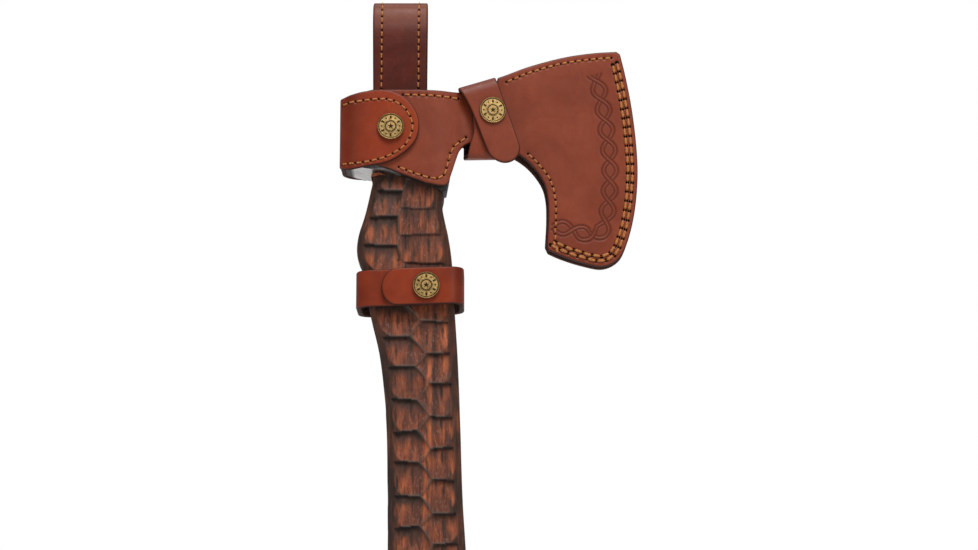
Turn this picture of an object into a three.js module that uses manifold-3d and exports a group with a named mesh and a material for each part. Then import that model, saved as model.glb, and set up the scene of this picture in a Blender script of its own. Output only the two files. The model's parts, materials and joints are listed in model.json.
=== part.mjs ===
// A bearded hatchet in its riding sheath: a forged head on a carved wooden handle, and a
// leather sheath that hangs from a belt loop and is closed by three snap straps.
// Millimetres, +Z up. X runs from the poll towards the cutting edge and the front of the
// sheath faces -Y. The design frame has y = 0 on the middle plane of the blade, x = 0 in the
// middle of the belt loop and z = 0 just below its inside top; the whole group is then moved,
// so that the origin is the middle of the belt's seat.
import * as THREE from 'three';
import { mergeVertices } from 'three/addons/utils/BufferGeometryUtils.js';
import Module from 'manifold-3d';

const wasm = await Module();
wasm.setup();

// ---------- driving dimensions ----------
const LEATHER = 2.8; // thickness of every leather piece
const GAP = 0.3; // clearance between neighbours that touch
const SEAT = 0.4; // clearance between the steel head and the leather
const TILT = THREE.MathUtils.degToRad(18); // lean of the neck flap

const EYE_HALF = 15.6; // half thickness of the head at the eye
const PANEL_INNER = EYE_HALF + SEAT; // inner face of both panels over the eye
const PANEL_OUTER = PANEL_INNER + LEATHER;
const POLL_X = -27.8; // back face of the poll
const WELT_HALF = 2.4; // half thickness of the welt
const WELT_WIDTH = 7; // welt width, measured in from the edge
const EDGE_INSET = WELT_WIDTH + 0.6; // cutting edge, measured in from the sheath's edge
const SEAM_OUTER = 2.9; // outer stitch row, measured in from the edge
const SEAM_INNER = 5.5; // inner stitch row, measured in from the edge
const THREAD = 0.9; // thread thickness

const HANGER_FRONT = PANEL_OUTER + GAP; // front face of the hanger strap
const HANGER_BACK = HANGER_FRONT + LEATHER;
const LOOP_LEATHER = 3; // the belt loop's strap is a little thicker
const LOOP_FRONT = HANGER_BACK + GAP; // front face of the belt loop
const LOOP_GAP = 12; // room for the belt, front to back
const LOOP_HALF = 15; // half width of the belt loop
const LOOP_END = -100; // lower end of the belt loop
const LOOP_RISE = 2.4; // the loop's inside top in the design frame
const LOOP_MID = LOOP_FRONT + LOOP_LEATHER + LOOP_GAP / 2;
const LOOP_REAR = LOOP_FRONT + 2 * LOOP_LEATHER + GAP; // rear face where both legs meet

const GRIP_HALF = 14; // half thickness of the handle
const GRIP_CHAMFER = 5; // flats along the handle's four corners
const BAND_TOP = -155.6; // upper edge of the handle strap
const BAND_BOTTOM = -175; // lower edge of the handle strap
const BAND_INNER = GRIP_HALF + 0.6; // inner face of the handle strap, front side
const FLAP_INNER = BAND_INNER + LEATHER + GAP;

const NECK_INNER = 10.9; // half opening of the neck strap on the line NECK_X
const NECK_X = 44; // line where the neck strap has its drawn thickness
const NECK_TAPER = 0.0075; // the strap narrows with the blade, per millimetre of X
const NECK_TOP = [44.3, -52]; // middle of the top fold's outer line

const TONGUE_FOLD_X = -21.4; // where the poll tongue starts to turn round the poll
const CAP_RADIUS = 7.2;
const HOLE_SEGMENTS = 20;

const SNAPS = {
  poll: { x: -2.7, z: -79.4, face: PANEL_OUTER + GAP + LEATHER, tilt: 0, squeeze: 1 },
  neck: { x: 51.9, z: -68.7 },
  handle: { x: 16.8, z: -165.6, face: FLAP_INNER + LEATHER, tilt: 0, squeeze: 1 },
};
const neckScale = (x) => 1 - NECK_TAPER * (x - NECK_X);
const NECK_FACE = NECK_INNER + 2 * LEATHER + GAP;
SNAPS.neck.squeeze = neckScale(SNAPS.neck.x);
SNAPS.neck.face = NECK_FACE * SNAPS.neck.squeeze;
SNAPS.neck.tilt = Math.atan(NECK_TAPER * NECK_FACE);

// Half thickness of the steel head along X, from the poll to the cutting edge.
const HEAD_SIDE = [
  [POLL_X, 12.4], [-22, 14.9], [-10, EYE_HALF], [12, EYE_HALF], [24, 13.8], [31, 10.9],
  [37, 8.2], [44, 6.8], [55, 5.7], [75, 4.2], [100, 2.6],
];
const HEAD_EDGE = [[118, 1], [124, 0.2]];
// Inner face of the panels: the same line a little further out, then flat on the welt.
const PANEL_SIDE = [
  [-32, PANEL_INNER], [-10, PANEL_INNER],
  ...HEAD_SIDE.slice(3).map(([x, half]) => [x, half + SEAT]),
  [112, WELT_HALF + GAP], [133, WELT_HALF + GAP],
];

// ---------- materials ----------
const finish = (color, roughness, metalness = 0) =>
  new THREE.MeshStandardMaterial({ color, roughness, metalness });
const LOOKS = {
  leather: () => finish(0x854532, 0.5),
  loop: () => finish(0x733228, 0.55),
  welt: () => finish(0x2a1712, 0.6),
  thread: () => finish(0xb8752a, 0.7),
  brass: () => finish(0x8a7444, 0.35, 1),
  steel: () => finish(0x96948c, 0.3, 1),
  wood: () => finish(0x6b4028, 0.6),
  wedge: () => finish(0x9c7a50, 0.7),
};

const sheath = new THREE.Group();
const axe = new THREE.Group();

function addPart(group, name, geometry, look) {
  const mesh = new THREE.Mesh(geometry, LOOKS[look]());
  mesh.name = name;
  group.add(mesh);
}

// ---------- solids ----------
function toSolid(geometry) {
  const bare = geometry.clone();
  bare.deleteAttribute('normal');
  bare.deleteAttribute('uv');
  const merged = mergeVertices(bare, 1e-4);
  return new wasm.Manifold(new wasm.Mesh({
    numProp: 3,
    vertProperties: Float32Array.from(merged.attributes.position.array),
    triVerts: Uint32Array.from(merged.index.array),
  }));
}

function toGeometry(solid) {
  const mesh = solid.getMesh();
  const geometry = new THREE.BufferGeometry();
  geometry.setAttribute('position', new THREE.BufferAttribute(mesh.vertProperties, 3));
  geometry.setIndex(new THREE.BufferAttribute(mesh.triVerts, 1));
  geometry.computeVertexNormals();
  return geometry;
}

const cut = (geometry, ...tools) =>
  toGeometry(tools.reduce((solid, tool) => solid.subtract(toSolid(tool)), toSolid(geometry)));
const common = (a, b) => toGeometry(toSolid(a).intersect(toSolid(b)));
const join = (a, b) => toGeometry(toSolid(a).add(toSolid(b)));

// A shape pushed along one axis: its own x and y become the two named axes.
const BASES = {
  xz: [new THREE.Vector3(1, 0, 0), new THREE.Vector3(0, 0, 1), new THREE.Vector3(0, -1, 0)],
  xy: [new THREE.Vector3(1, 0, 0), new THREE.Vector3(0, 1, 0), new THREE.Vector3(0, 0, 1)],
  yz: [new THREE.Vector3(0, 1, 0), new THREE.Vector3(0, 0, 1), new THREE.Vector3(1, 0, 0)],
};

function push(shape, plane, from, to, options = {}) {
  const geometry = new THREE.ExtrudeGeometry(shape, {
    depth: Math.abs(to - from), bevelEnabled: false, curveSegments: 8, ...options,
  });
  const basis = BASES[plane];
  geometry.applyMatrix4(new THREE.Matrix4().makeBasis(...basis));
  const start = plane === 'xz' ? -Math.max(from, to) : Math.min(from, to);
  return geometry.translate(...basis[2].clone().multiplyScalar(start).toArray());
}

const plate = (shape, yFrom, yTo, options) => push(shape, 'xz', yFrom, yTo, options);

// Points along a smooth line through the stations.
function smooth(stations, count) {
  const points = stations.map(([a, b]) => new THREE.Vector3(a, b, 0));
  const curve = new THREE.CatmullRomCurve3(points, false, 'centripetal');
  return curve.getPoints(count).map((p) => new THREE.Vector2(p.x, p.y));
}

// The same line moved sideways, to its left as it is walked.
function offsetLine(line, distance) {
  return line.map((point, i) => {
    const before = line[Math.max(i - 1, 0)];
    const after = line[Math.min(i + 1, line.length - 1)];
    const along = after.clone().sub(before).normalize();
    return new THREE.Vector2(point.x - along.y * distance, point.y + along.x * distance);
  });
}

const outlineOf = (...runs) => new THREE.Shape(runs.flat());
const at = (x, z) => new THREE.Vector2(x, z);

// A curved sheet over the whole sheath, between two distances from the panels' inner face.
function sheet(side, from, to) {
  const line = smooth(PANEL_SIDE, 44);
  const inner = line.map((p) => at(p.x, side * (p.y + from)));
  const outer = line.map((p) => at(p.x, side * (p.y + to))).reverse();
  const section = side > 0 ? outlineOf(inner, outer) : outlineOf(outer, inner);
  return push(section, 'xy', -170, 10);
}

// ---------- outlines in the X-Z plane ----------
// The sewn edge of the sheath, from the toe down the cutting edge and along the heel.
const EDGE = smooth([
  [121.3, -34.5], [123.9, -45.7], [127.5, -65.9], [129.8, -88.2], [130.1, -104],
  [128.2, -123], [124.5, -138], [119.6, -148], [111.5, -152.1], [100.1, -150.2],
  [88, -146.1], [82, -143.3],
], 40);
const inset = (distance) => offsetLine(EDGE, -distance);

const BEARD = smooth([[81.2, -140.5], [82, -125], [81.6, -114.4], [79.5, -106.5],
  [73.5, -97.6], [66.8, -91.7], [57, -86.6], [46, -85.2], [40.1, -85.6]], 22);
const NOTCH = smooth([[37.4, -86.8], [34.6, -90], [33, -94.2], [29.6, -105], [28.4, -108.4],
  [26.6, -110.1], [23, -110.4]], 12);
const LOWER = smooth([[16.1, -109.3], [3.8, -104.8], [-3.5, -101.7]], 6);
const TOP = smooth([[32, -58.6], [42, -57.1], [50, -54.2], [54.6, -52.4], [57, -48.6],
  [71.8, -42.1], [92, -36.4], [108, -34], [119.4, -33.3]], 20);

const frontOutline = outlineOf(
  [at(-18, -61), at(-16.6, -58.7), at(-13, -58.2)], TOP, inset(0), BEARD, NOTCH, LOWER,
  [at(-18, -97)],
);
const backOutline = outlineOf(
  [at(-18, -60), at(-15, -58.2)], TOP, inset(0), offsetLine(BEARD, -0.8), NOTCH, LOWER,
  [at(-9, -101.4), at(-18, -99.8)],
);

function headOutline() {
  const top = smooth([[31, -60.2], [42, -59], [51, -55.6], [57, -51.6], [72, -44], [92, -38.4],
    [107, -36]], 14);
  const edge = inset(EDGE_INSET).slice(1);
  const beard = smooth([[85.2, -136.4], [84.3, -125], [83.7, -114.4], [81.4, -105.8],
    [75, -96.2], [68, -89.9], [58, -84.8], [47, -83.2], [38.5, -84.2]], 18);
  const notch = smooth([[35, -86], [32.4, -90], [31, -94.2], [27.9, -107], [26.8, -112.8]], 8);
  const lower = smooth([[24, -113.4], [12, -110.4], [0, -106], [-10, -101.8]], 8);
  return outlineOf([at(POLL_X, -62), at(-25, -60.2)], top, edge, beard, notch, lower,
    [at(POLL_X, -98.5)]);
}

// ---------- the axe ----------
const EYE = { x: 6, half: 18, depth: 10 }; // oval eye: middle, half length, half thickness
const HEAD_TOP = -60.2;
const KERF = { from: -9, to: 21, foot: -92 };

function oval(grow) {
  const shape = new THREE.Shape();
  shape.absellipse(EYE.x, 0, EYE.half + grow, EYE.depth + grow, 0, Math.PI * 2, false, 0);
  return shape;
}

// A wedge lying along X: thick at the top, thin at its foot.
function wedgeAlongX(xFrom, xTo, top, foot, halfTop, halfFoot) {
  return push(outlineOf([at(-halfTop, top), at(-halfFoot, foot), at(halfFoot, foot),
    at(halfTop, top)]), 'yz', xFrom, xTo);
}

function makeHead() {
  const line = smooth([...HEAD_SIDE, ...HEAD_EDGE], 40);
  const section = outlineOf(line.map((p) => at(p.x, -p.y)),
    line.map((p) => at(p.x, p.y)).reverse());
  const forged = common(plate(headOutline(), -20, 20), push(section, 'xy', -160, -20));
  addPart(axe, 'axe_head', cut(forged, push(oval(0), 'xy', -130, -40)), 'steel');
}

const GRIP_LEFT = smooth([[-13.4, -102], [-15.6, -117], [-21.3, -140], [-20.4, -149],
  [-17.6, -155.6], [-13.8, -178], [-8.2, -202], [-4.6, -236], [-3.6, -275], [-3.2, -320], [-3.6, -370],
  [-6, -420], [-11, -458], [-12.6, -474]], 30);
const GRIP_RIGHT = smooth([[43, -474], [41.6, -458], [40, -420], [39.6, -370], [38.6, -320],
  [35.9, -275], [34.6, -236], [33.2, -202], [31.7, -180], [29.4, -148], [27.2, -134],
  [24.4, -119], [25.4, -114.6]], 30);
const GRIP_TOP = smooth([[24, -113.9], [12, -110.9], [0, -106.5], [-9, -102.6]], 8);
const BUTT = [at(-10.5, -481), at(-5, -486), at(35, -486), at(41, -481)];

function makeHandle() {
  const blank = outlineOf([at(-12, -90)], GRIP_LEFT, [at(-14, -500), at(44, -500)], GRIP_RIGHT,
    [at(26, -90)]);
  const bar = plate(blank, -GRIP_HALF + GRIP_CHAMFER, GRIP_HALF - GRIP_CHAMFER, {
    bevelEnabled: true, bevelSegments: 1, bevelThickness: GRIP_CHAMFER,
    bevelSize: GRIP_CHAMFER, bevelOffset: -GRIP_CHAMFER,
  });
  const outline = outlineOf(GRIP_LEFT, BUTT, GRIP_RIGHT, GRIP_TOP);
  const grip = common(bar, plate(outline, -GRIP_HALF - 1, GRIP_HALF + 1));
  const tenon = push(oval(-GAP), 'xy', -120, HEAD_TOP + 1.6);
  const kerf = wedgeAlongX(KERF.from, KERF.to, HEAD_TOP + 4, KERF.foot - 2, 2.4, 0.6);
  const cross = crossWedge(GAP);
  addPart(axe, 'handle', cut(join(grip, tenon), kerf, cross), 'wood');
}

// The small steel wedge stands across the wooden one.
function crossWedge(grow) {
  const half = 1.1 + grow;
  return push(outlineOf([at(EYE.x - half, HEAD_TOP + 3 + grow), at(EYE.x - 0.3 - grow, -80 - grow),
    at(EYE.x + 0.3 + grow, -80 - grow), at(EYE.x + half, HEAD_TOP + 3 + grow)]),
  'xz', -6 - grow, 6 + grow);
}

function makeWedges() {
  const wood = wedgeAlongX(KERF.from + GAP, KERF.to - GAP, HEAD_TOP + 2.4, KERF.foot, 2, 0.35);
  addPart(axe, 'eye_wedge', cut(wood, crossWedge(GAP)), 'wedge');
  addPart(axe, 'steel_wedge', crossWedge(0), 'steel');
}

// ---------- snaps ----------
// Heights are measured outwards from the flap's outer face; the flap is one leather thick
// and lies one gap above the piece that carries the stud.
const STUD_FACE = -(LEATHER + GAP);
const STUD_BACK = STUD_FACE - LEATHER;
const SNAP_PARTS = {
  cap: [[0, -1.6], [1.7, -1.6], [1.7, 0.15], [CAP_RADIUS - 0.5, 0.15], [CAP_RADIUS, 0.5],
    [CAP_RADIUS - 0.1, 1.2], [6.6, 1.6], [5.9, 1.5], [5.5, 1.1], [3.6, 1.3], [3.2, 1.8],
    [1.6, 2.1], [0, 2.2]],
  socket: [[3.3, -0.25], [2, -0.25], [2, -1.7], [2.5, -1.9], [2.5, -2.75], [3.3, -2.75],
    [3.3, -0.25]],
  stud: [[0, STUD_BACK + 0.75], [1.3, STUD_BACK + 0.75], [1.3, STUD_FACE - 0.35],
    [3.2, STUD_FACE - 0.35], [3.2, STUD_FACE], [1.8, STUD_FACE], [2.1, -2.5],
    [1.8, -2.1], [0, -2.1]],
  rivet: [[0, STUD_BACK + 0.05], [4, STUD_BACK + 0.05], [4, STUD_BACK + 0.4],
    [0, STUD_BACK + 0.45]],
};

function placeSnapPart(snap, profile, segments) {
  const points = profile.map(([r, h]) => at(r, h * snap.squeeze));
  const geometry = new THREE.LatheGeometry(points, segments);
  geometry.rotateX(Math.PI);
  geometry.rotateZ(snap.tilt);
  return geometry.translate(snap.x, -snap.face, snap.z);
}

const column = (radius, low, high) => [[0, low], [radius, low], [radius, high], [0, high]];
const flapHole = (snap) => placeSnapPart(snap, column(3.6, -4, 1), HOLE_SEGMENTS);
const studHole = (snap) => placeSnapPart(snap, column(1.6, STUD_BACK - 1, 1), HOLE_SEGMENTS);
const studRecess = (snap) =>
  placeSnapPart(snap, column(3.5, STUD_FACE - 0.65, STUD_FACE + 1), HOLE_SEGMENTS);
const rivetRecess = (snap) =>
  placeSnapPart(snap, column(4.3, STUD_BACK - 1, STUD_BACK + 0.7), HOLE_SEGMENTS);

function makeSnap(name, flapGroup) {
  const snap = SNAPS[name];
  addPart(flapGroup, `${name}_snap_cap`, placeSnapPart(snap, SNAP_PARTS.cap, 36), 'brass');
  addPart(flapGroup, `${name}_snap_socket`, placeSnapPart(snap, SNAP_PARTS.socket, 20), 'brass');
  addPart(sheath, `${name}_snap_stud`, placeSnapPart(snap, SNAP_PARTS.stud, 20), 'brass');
  addPart(sheath, `${name}_snap_rivet`, placeSnapPart(snap, SNAP_PARTS.rivet, 24), 'brass');
}

const drillForStud = (geometry, snap) =>
  cut(geometry, studHole(snap), studRecess(snap), rivetRecess(snap));

// ---------- rivets at the back ----------
const RIVET_SHANK = 1.5;
const RIVET_HEAD = 4.2;
const RIVETS = [
  { name: 'loop_rivet_left', x: -7, z: -88, back: LOOP_REAR },
  { name: 'loop_rivet_right', x: 7, z: -88, back: LOOP_REAR },
  { name: 'hanger_rivet_left', x: 1, z: -165.3, back: HANGER_BACK },
  { name: 'hanger_rivet_right', x: 14, z: -165.3, back: HANGER_BACK },
];

function roundAlongY(profile, x, z, segments) {
  return new THREE.LatheGeometry(profile.map(([r, y]) => at(r, y)), segments)
    .translate(x, 0, z);
}

function rivetSolid({ x, z, back }) {
  const inner = PANEL_INNER + 0.1;
  return roundAlongY([[0, inner], [3.4, inner], [3.4, inner + 0.45],
    [RIVET_SHANK, inner + 0.5], [RIVET_SHANK, back + 0.15], [RIVET_HEAD, back + 0.15],
    [RIVET_HEAD - 0.3, back + 0.8], [2.4, back + 1.5], [0, back + 1.7]], x, z, 24);
}

function drillForRivets(geometry, rivets) {
  const holes = rivets.map(({ x, z }) => roundAlongY(column(RIVET_SHANK + 0.3, 0, 50), x, z, 16));
  const recesses = rivets.map(({ x, z }) =>
    roundAlongY(column(3.7, 0, PANEL_INNER + 0.85), x, z, 20));
  return cut(geometry, ...holes, ...recesses);
}

// ---------- the two panels, the welt and the back straps ----------
function makePanels() {
  const front = common(plate(frontOutline, -30, 0), sheet(-1, 0, LEATHER));
  addPart(sheath, 'front_panel', drillForStud(front, SNAPS.poll), 'leather');
  const back = common(plate(backOutline, 0, 30), sheet(1, 0, LEATHER));
  addPart(sheath, 'back_panel', drillForRivets(back, RIVETS.slice(0, 2)), 'leather');
  const strip = outlineOf(inset(0.3), inset(WELT_WIDTH).reverse());
  addPart(sheath, 'edge_welt', plate(strip, -WELT_HALF, WELT_HALF), 'welt');
}

// The belt loop is one strap: up behind the sheath, over, down again and back to itself.
function makeBeltLoop() {
  const inner = LOOP_FRONT + LOOP_LEATHER;
  const rear = inner + LOOP_GAP;
  const radius = LOOP_GAP / 2;
  const turn = LOOP_RISE - radius;
  const meet = LOOP_END + 24;
  const outside = new THREE.Path();
  outside.moveTo(LOOP_FRONT, LOOP_END);
  outside.lineTo(LOOP_FRONT, turn);
  outside.absarc(LOOP_MID, turn, radius + LOOP_LEATHER, Math.PI, 0, true);
  outside.lineTo(rear + LOOP_LEATHER, -40);
  outside.bezierCurveTo(rear + LOOP_LEATHER, -60, LOOP_REAR, -60, LOOP_REAR, meet);
  outside.lineTo(LOOP_REAR, LOOP_END);
  const inside = new THREE.Path();
  inside.moveTo(LOOP_REAR - LOOP_LEATHER, LOOP_END);
  inside.lineTo(LOOP_REAR - LOOP_LEATHER, meet);
  inside.bezierCurveTo(LOOP_REAR - LOOP_LEATHER, -62, rear, -60, rear, -40);
  inside.lineTo(rear, turn);
  inside.absarc(LOOP_MID, turn, radius, 0, Math.PI, false);
  inside.lineTo(inner, LOOP_END);
  const side = outlineOf(outside.getPoints(12), inside.getPoints(12));
  const strap = push(side, 'yz', -LOOP_HALF, LOOP_HALF);
  addPart(sheath, 'belt_loop', drillForRivets(strap, RIVETS.slice(0, 2)), 'loop');
}

function makeHanger() {
  const outline = outlineOf([at(-14, -68), at(-11, -65), at(12, -65), at(15, -68), at(15, -112),
    at(22, -150), at(22, -174), at(18, -178), at(-3, -178), at(-7, -174), at(-7, -150),
    at(-14, -112)]);
  const strap = plate(outline, HANGER_FRONT, HANGER_BACK);
  addPart(sheath, 'hanger_strap', drillForRivets(strap, RIVETS), 'leather');
}

// ---------- the poll strap ----------
function makePollStrap(flap) {
  const face = SNAPS.poll.face;
  const outside = new THREE.Path();
  outside.moveTo(-18 - GAP, PANEL_OUTER);
  outside.lineTo(-24, PANEL_OUTER - 0.2);
  outside.quadraticCurveTo(-31.2, PANEL_OUTER - 0.6, -31.2, 11);
  outside.lineTo(-31.2, -13);
  outside.quadraticCurveTo(-31.2, -face + 0.9, -25, -face + 0.1);
  outside.lineTo(TONGUE_FOLD_X, -face);
  const inside = new THREE.Path();
  inside.moveTo(TONGUE_FOLD_X, -face + LEATHER);
  inside.lineTo(-25, -face + LEATHER + 0.1);
  inside.quadraticCurveTo(-28.4, -face + LEATHER + 0.7, -28.4, -13);
  inside.lineTo(-28.4, 11);
  inside.quadraticCurveTo(-28.4, PANEL_INNER - 0.2, -24, PANEL_INNER - 0.1);
  inside.lineTo(-18 - GAP, PANEL_INNER);
  const wrap = outlineOf(outside.getPoints(8), inside.getPoints(8));
  addPart(sheath, 'poll_bend', push(wrap, 'xy', -102, -60.9), 'leather');

  const tongue = outlineOf(smooth([[TONGUE_FOLD_X + GAP, -101.8], [-15.6, -100.8],
    [-4.4, -98.4], [5.3, -92.6], [10.9, -86], [12.5, -78.5], [10.9, -70.8], [5.4, -63.6],
    [-1.6, -59.6], [-8, -58.6], [-16, -59.5], [TONGUE_FOLD_X + GAP, -60.5]], 28));
  const leaf = plate(tongue, -face, -face + LEATHER);
  addPart(flap, 'poll_tongue', cut(leaf, flapHole(SNAPS.poll)), 'leather');
}

// ---------- the neck strap ----------
// Narrows with the blade: everything comes nearer the middle plane towards the edge.
function taper(geometry) {
  const position = geometry.attributes.position;
  for (let i = 0; i < position.count; i += 1) {
    position.setY(i, position.getY(i) * neckScale(position.getX(i)));
  }
  return geometry;
}

// Strap section over a fold: straight legs joined by a round-cornered bridge, in y and w,
// where w is the distance down from the fold's outer line.
function foldSection(half, leg) {
  const outer = half + LEATHER;
  const shape = new THREE.Shape();
  shape.moveTo(-outer, -leg);
  shape.lineTo(-outer, -5);
  shape.quadraticCurveTo(-outer, 0, -outer + 5, 0);
  shape.lineTo(outer - 5, 0);
  shape.quadraticCurveTo(outer, 0, outer, -5);
  shape.lineTo(outer, -leg);
  shape.lineTo(half, -leg);
  shape.lineTo(half, -5.4);
  shape.quadraticCurveTo(half, -LEATHER, half - 3, -LEATHER);
  shape.lineTo(-half + 3, -LEATHER);
  shape.quadraticCurveTo(-half, -LEATHER, -half, -5.4);
  shape.lineTo(-half, -leg);
  shape.closePath();
  return shape;
}

// From strap coordinates, u along the fold and w down the flap, to X and Z.
function neckPoint(u, w) {
  return at(NECK_TOP[0] + u * Math.cos(TILT) + w * Math.sin(TILT),
    NECK_TOP[1] + u * Math.sin(TILT) - w * Math.cos(TILT));
}

function makeNeckStrap(flap) {
  const leg = 7.2;
  const flapInner = NECK_INNER + LEATHER + GAP;
  const fold = push(foldSection(flapInner, leg), 'yz', -10, 9.6);
  fold.rotateY(-TILT).translate(NECK_TOP[0], 0, NECK_TOP[1]);
  addPart(sheath, 'neck_fold_top', taper(fold), 'leather');

  const under = push(foldSection(NECK_INNER, 6), 'yz', 36, 54);
  under.scale(1, 1, -1).translate(0, 0, -94.6);
  flipFaces(under);
  addPart(sheath, 'neck_fold_under', taper(under), 'leather');

  const backLine = -88.6 + GAP;
  const top = [neckPoint(9.4, leg + GAP), neckPoint(-9.8, leg + GAP)];
  const back = outlineOf([at(36, backLine), at(54, backLine)], top);
  addPart(sheath, 'neck_band', taper(plate(back, flapInner, flapInner + LEATHER)), 'leather');

  const end = outlineOf([at(37.3, backLine), at(54, backLine), at(58, -76), at(57.6, -63),
    at(55, -61), at(43, -62.5), at(41, -65), at(39.8, -79)]);
  const inner = taper(plate(end, -NECK_INNER - LEATHER, -NECK_INNER));
  addPart(sheath, 'neck_band_end', drillForStud(inner, SNAPS.neck), 'leather');

  const leaf = outlineOf(
    [neckPoint(9.6, leg + GAP), neckPoint(-9.8, leg + GAP)],
    smooth([[-8.5, 15], [-8.1, 28], [-7.4, 38]], 3).map((p) => neckPoint(p.x, p.y)),
    smooth([[-6.4, 41.6], [-2, 46.4], [2.4, 47.8], [6.6, 46.8], [9.6, 42.4], [10.2, 36]], 12)
      .map((p) => neckPoint(p.x, p.y)),
  );
  const cover = taper(plate(leaf, -flapInner - LEATHER, -flapInner));
  addPart(flap, 'neck_tongue', cut(cover, flapHole(SNAPS.neck)), 'leather');
}

// A mirrored copy needs its triangles turned over to face outwards again.
function flipFaces(geometry) {
  const position = geometry.attributes.position;
  const corner = new THREE.Vector3();
  const other = new THREE.Vector3();
  for (let i = 0; i < position.count; i += 3) {
    corner.fromBufferAttribute(position, i);
    other.fromBufferAttribute(position, i + 1);
    position.setXYZ(i, other.x, other.y, other.z);
    position.setXYZ(i + 1, corner.x, corner.y, corner.z);
  }
  return geometry;
}

// ---------- the handle strap ----------
const BAND_LEFT = -21.1;
const BAND_RIGHT = 36.6;
const BAND_SPLIT = -12; // where the band starts to turn round the handle's left side
const FLAP_SPLIT = 26.5; // where the flap starts to turn round the right side

// A strap round one side of the handle, from the back leg to the front leg. `toward` is -1
// for the left side and 1 for the right.
function sideWrap(split, sideX, frontInner, backInner, toward) {
  const wall = (extra, corner) => {
    const path = new THREE.Path();
    const x = sideX - toward * (LEATHER - extra);
    path.moveTo(split, backInner + extra);
    path.lineTo(x - toward * corner, backInner + extra);
    path.quadraticCurveTo(x, backInner + extra, x, backInner + extra - corner);
    path.lineTo(x, -frontInner - extra + corner);
    path.quadraticCurveTo(x, -frontInner - extra, x - toward * corner, -frontInner - extra);
    path.lineTo(split, -frontInner - extra);
    return path.getPoints(8);
  };
  const shape = outlineOf(wall(LEATHER, 8), wall(0, 5.6).reverse());
  return push(shape, 'xy', BAND_BOTTOM, BAND_TOP);
}

function makeHandleStrap(flap) {
  const z = (BAND_TOP + BAND_BOTTOM) / 2;
  const radius = (BAND_TOP - BAND_BOTTOM) / 2;
  const bar = (from, to) => outlineOf([at(from, BAND_BOTTOM), at(to, BAND_BOTTOM),
    at(to, BAND_TOP), at(from, BAND_TOP)]);
  const back = plate(bar(BAND_SPLIT, FLAP_SPLIT + GAP), PANEL_INNER, PANEL_OUTER);
  addPart(sheath, 'handle_band', drillForRivets(back, RIVETS.slice(2)), 'leather');
  addPart(sheath, 'handle_bend_left',
    sideWrap(BAND_SPLIT - GAP, BAND_LEFT, BAND_INNER, PANEL_INNER, -1), 'leather');
  const end = plate(bar(BAND_SPLIT, 24), -BAND_INNER - LEATHER, -BAND_INNER);
  addPart(sheath, 'handle_band_end', drillForStud(end, SNAPS.handle), 'leather');
  addPart(sheath, 'handle_bend_right',
    sideWrap(FLAP_SPLIT + 2 * GAP, BAND_RIGHT, FLAP_INNER, PANEL_INNER, 1), 'leather');

  const leaf = new THREE.Shape();
  leaf.moveTo(FLAP_SPLIT + GAP, BAND_BOTTOM);
  leaf.lineTo(FLAP_SPLIT + GAP, BAND_TOP);
  leaf.lineTo(1.5, BAND_TOP);
  leaf.absellipse(1.5, z, 8.6, radius, Math.PI / 2, Math.PI * 1.5, false, 0);
  const cover = plate(leaf, -FLAP_INNER - LEATHER, -FLAP_INNER);
  addPart(flap, 'handle_tongue', cut(cover, flapHole(SNAPS.handle)), 'leather');
}

// ---------- threads ----------
// A thread lies on its panel along a line in X and Z.
function threadOn(line, cover) {
  const strip = outlineOf(offsetLine(line, THREAD / 2), offsetLine(line, -THREAD / 2).reverse());
  return common(plate(strip, -40, 40), cover);
}

const SEAM_LINES = {
  edge_outer: inset(SEAM_OUTER).slice(1),
  edge_inner: inset(SEAM_INNER).slice(2, -1),
  toe: smooth([[59.5, -51], [71.8, -45.5], [92, -39.6], [108, -37.2], [116.8, -36.5]], 12),
  beard: smooth([[85.4, -136.2], [86.2, -122], [85.4, -113], [83, -105], [77, -96.6],
    [71.2, -90.8]], 12),
  eye_top: smooth([[3.6, -60.9], [16.4, -61], [30.8, -61.2]], 4),
  eye_lower: smooth([[1.6, -100.8], [12, -104.8], [22, -106.8], [25.4, -105.2], [28.6, -95],
    [30.2, -89.4], [37.6, -82.6]], 14),
};

function makeSeams(tongue) {
  for (const [name, line] of Object.entries(SEAM_LINES)) {
    const front = threadOn(line, sheet(-1, LEATHER + 0.1, LEATHER + 0.1 + THREAD));
    addPart(sheath, `seam_${name}_front`, front, 'thread');
    if (name.startsWith('edge')) {
      const back = threadOn(line, sheet(1, LEATHER + 0.1, LEATHER + 0.1 + THREAD));
      addPart(sheath, `seam_${name}_back`, back, 'thread');
    }
  }
  const face = SNAPS.poll.face + 0.1;
  const rim = smooth([[-20.6, -65.2], [-14, -64], [-4.4, -64], [2, -66.6], [7.4, -73],
    [9, -79.5], [5.8, -88.2], [-0.8, -93.6], [-9, -97], [-20.6, -99.4]], 24);
  const ribbon = outlineOf(offsetLine(rim, THREAD / 2), offsetLine(rim, -THREAD / 2).reverse());
  addPart(tongue, 'seam_tongue', plate(ribbon, -face - THREAD, -face), 'thread');
  for (const [name, x] of [['left', -10.2], ['right', 10.4]]) {
    const run = outlineOf([at(x - 0.45, -97), at(x + 0.45, -97), at(x + 0.45, -7),
      at(x - 0.45, -7)]);
    const thread = plate(run, LOOP_FRONT - 0.05 - THREAD / 4, LOOP_FRONT - 0.05);
    addPart(sheath, `seam_loop_${name}`, thread, 'thread');
  }
}

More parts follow.
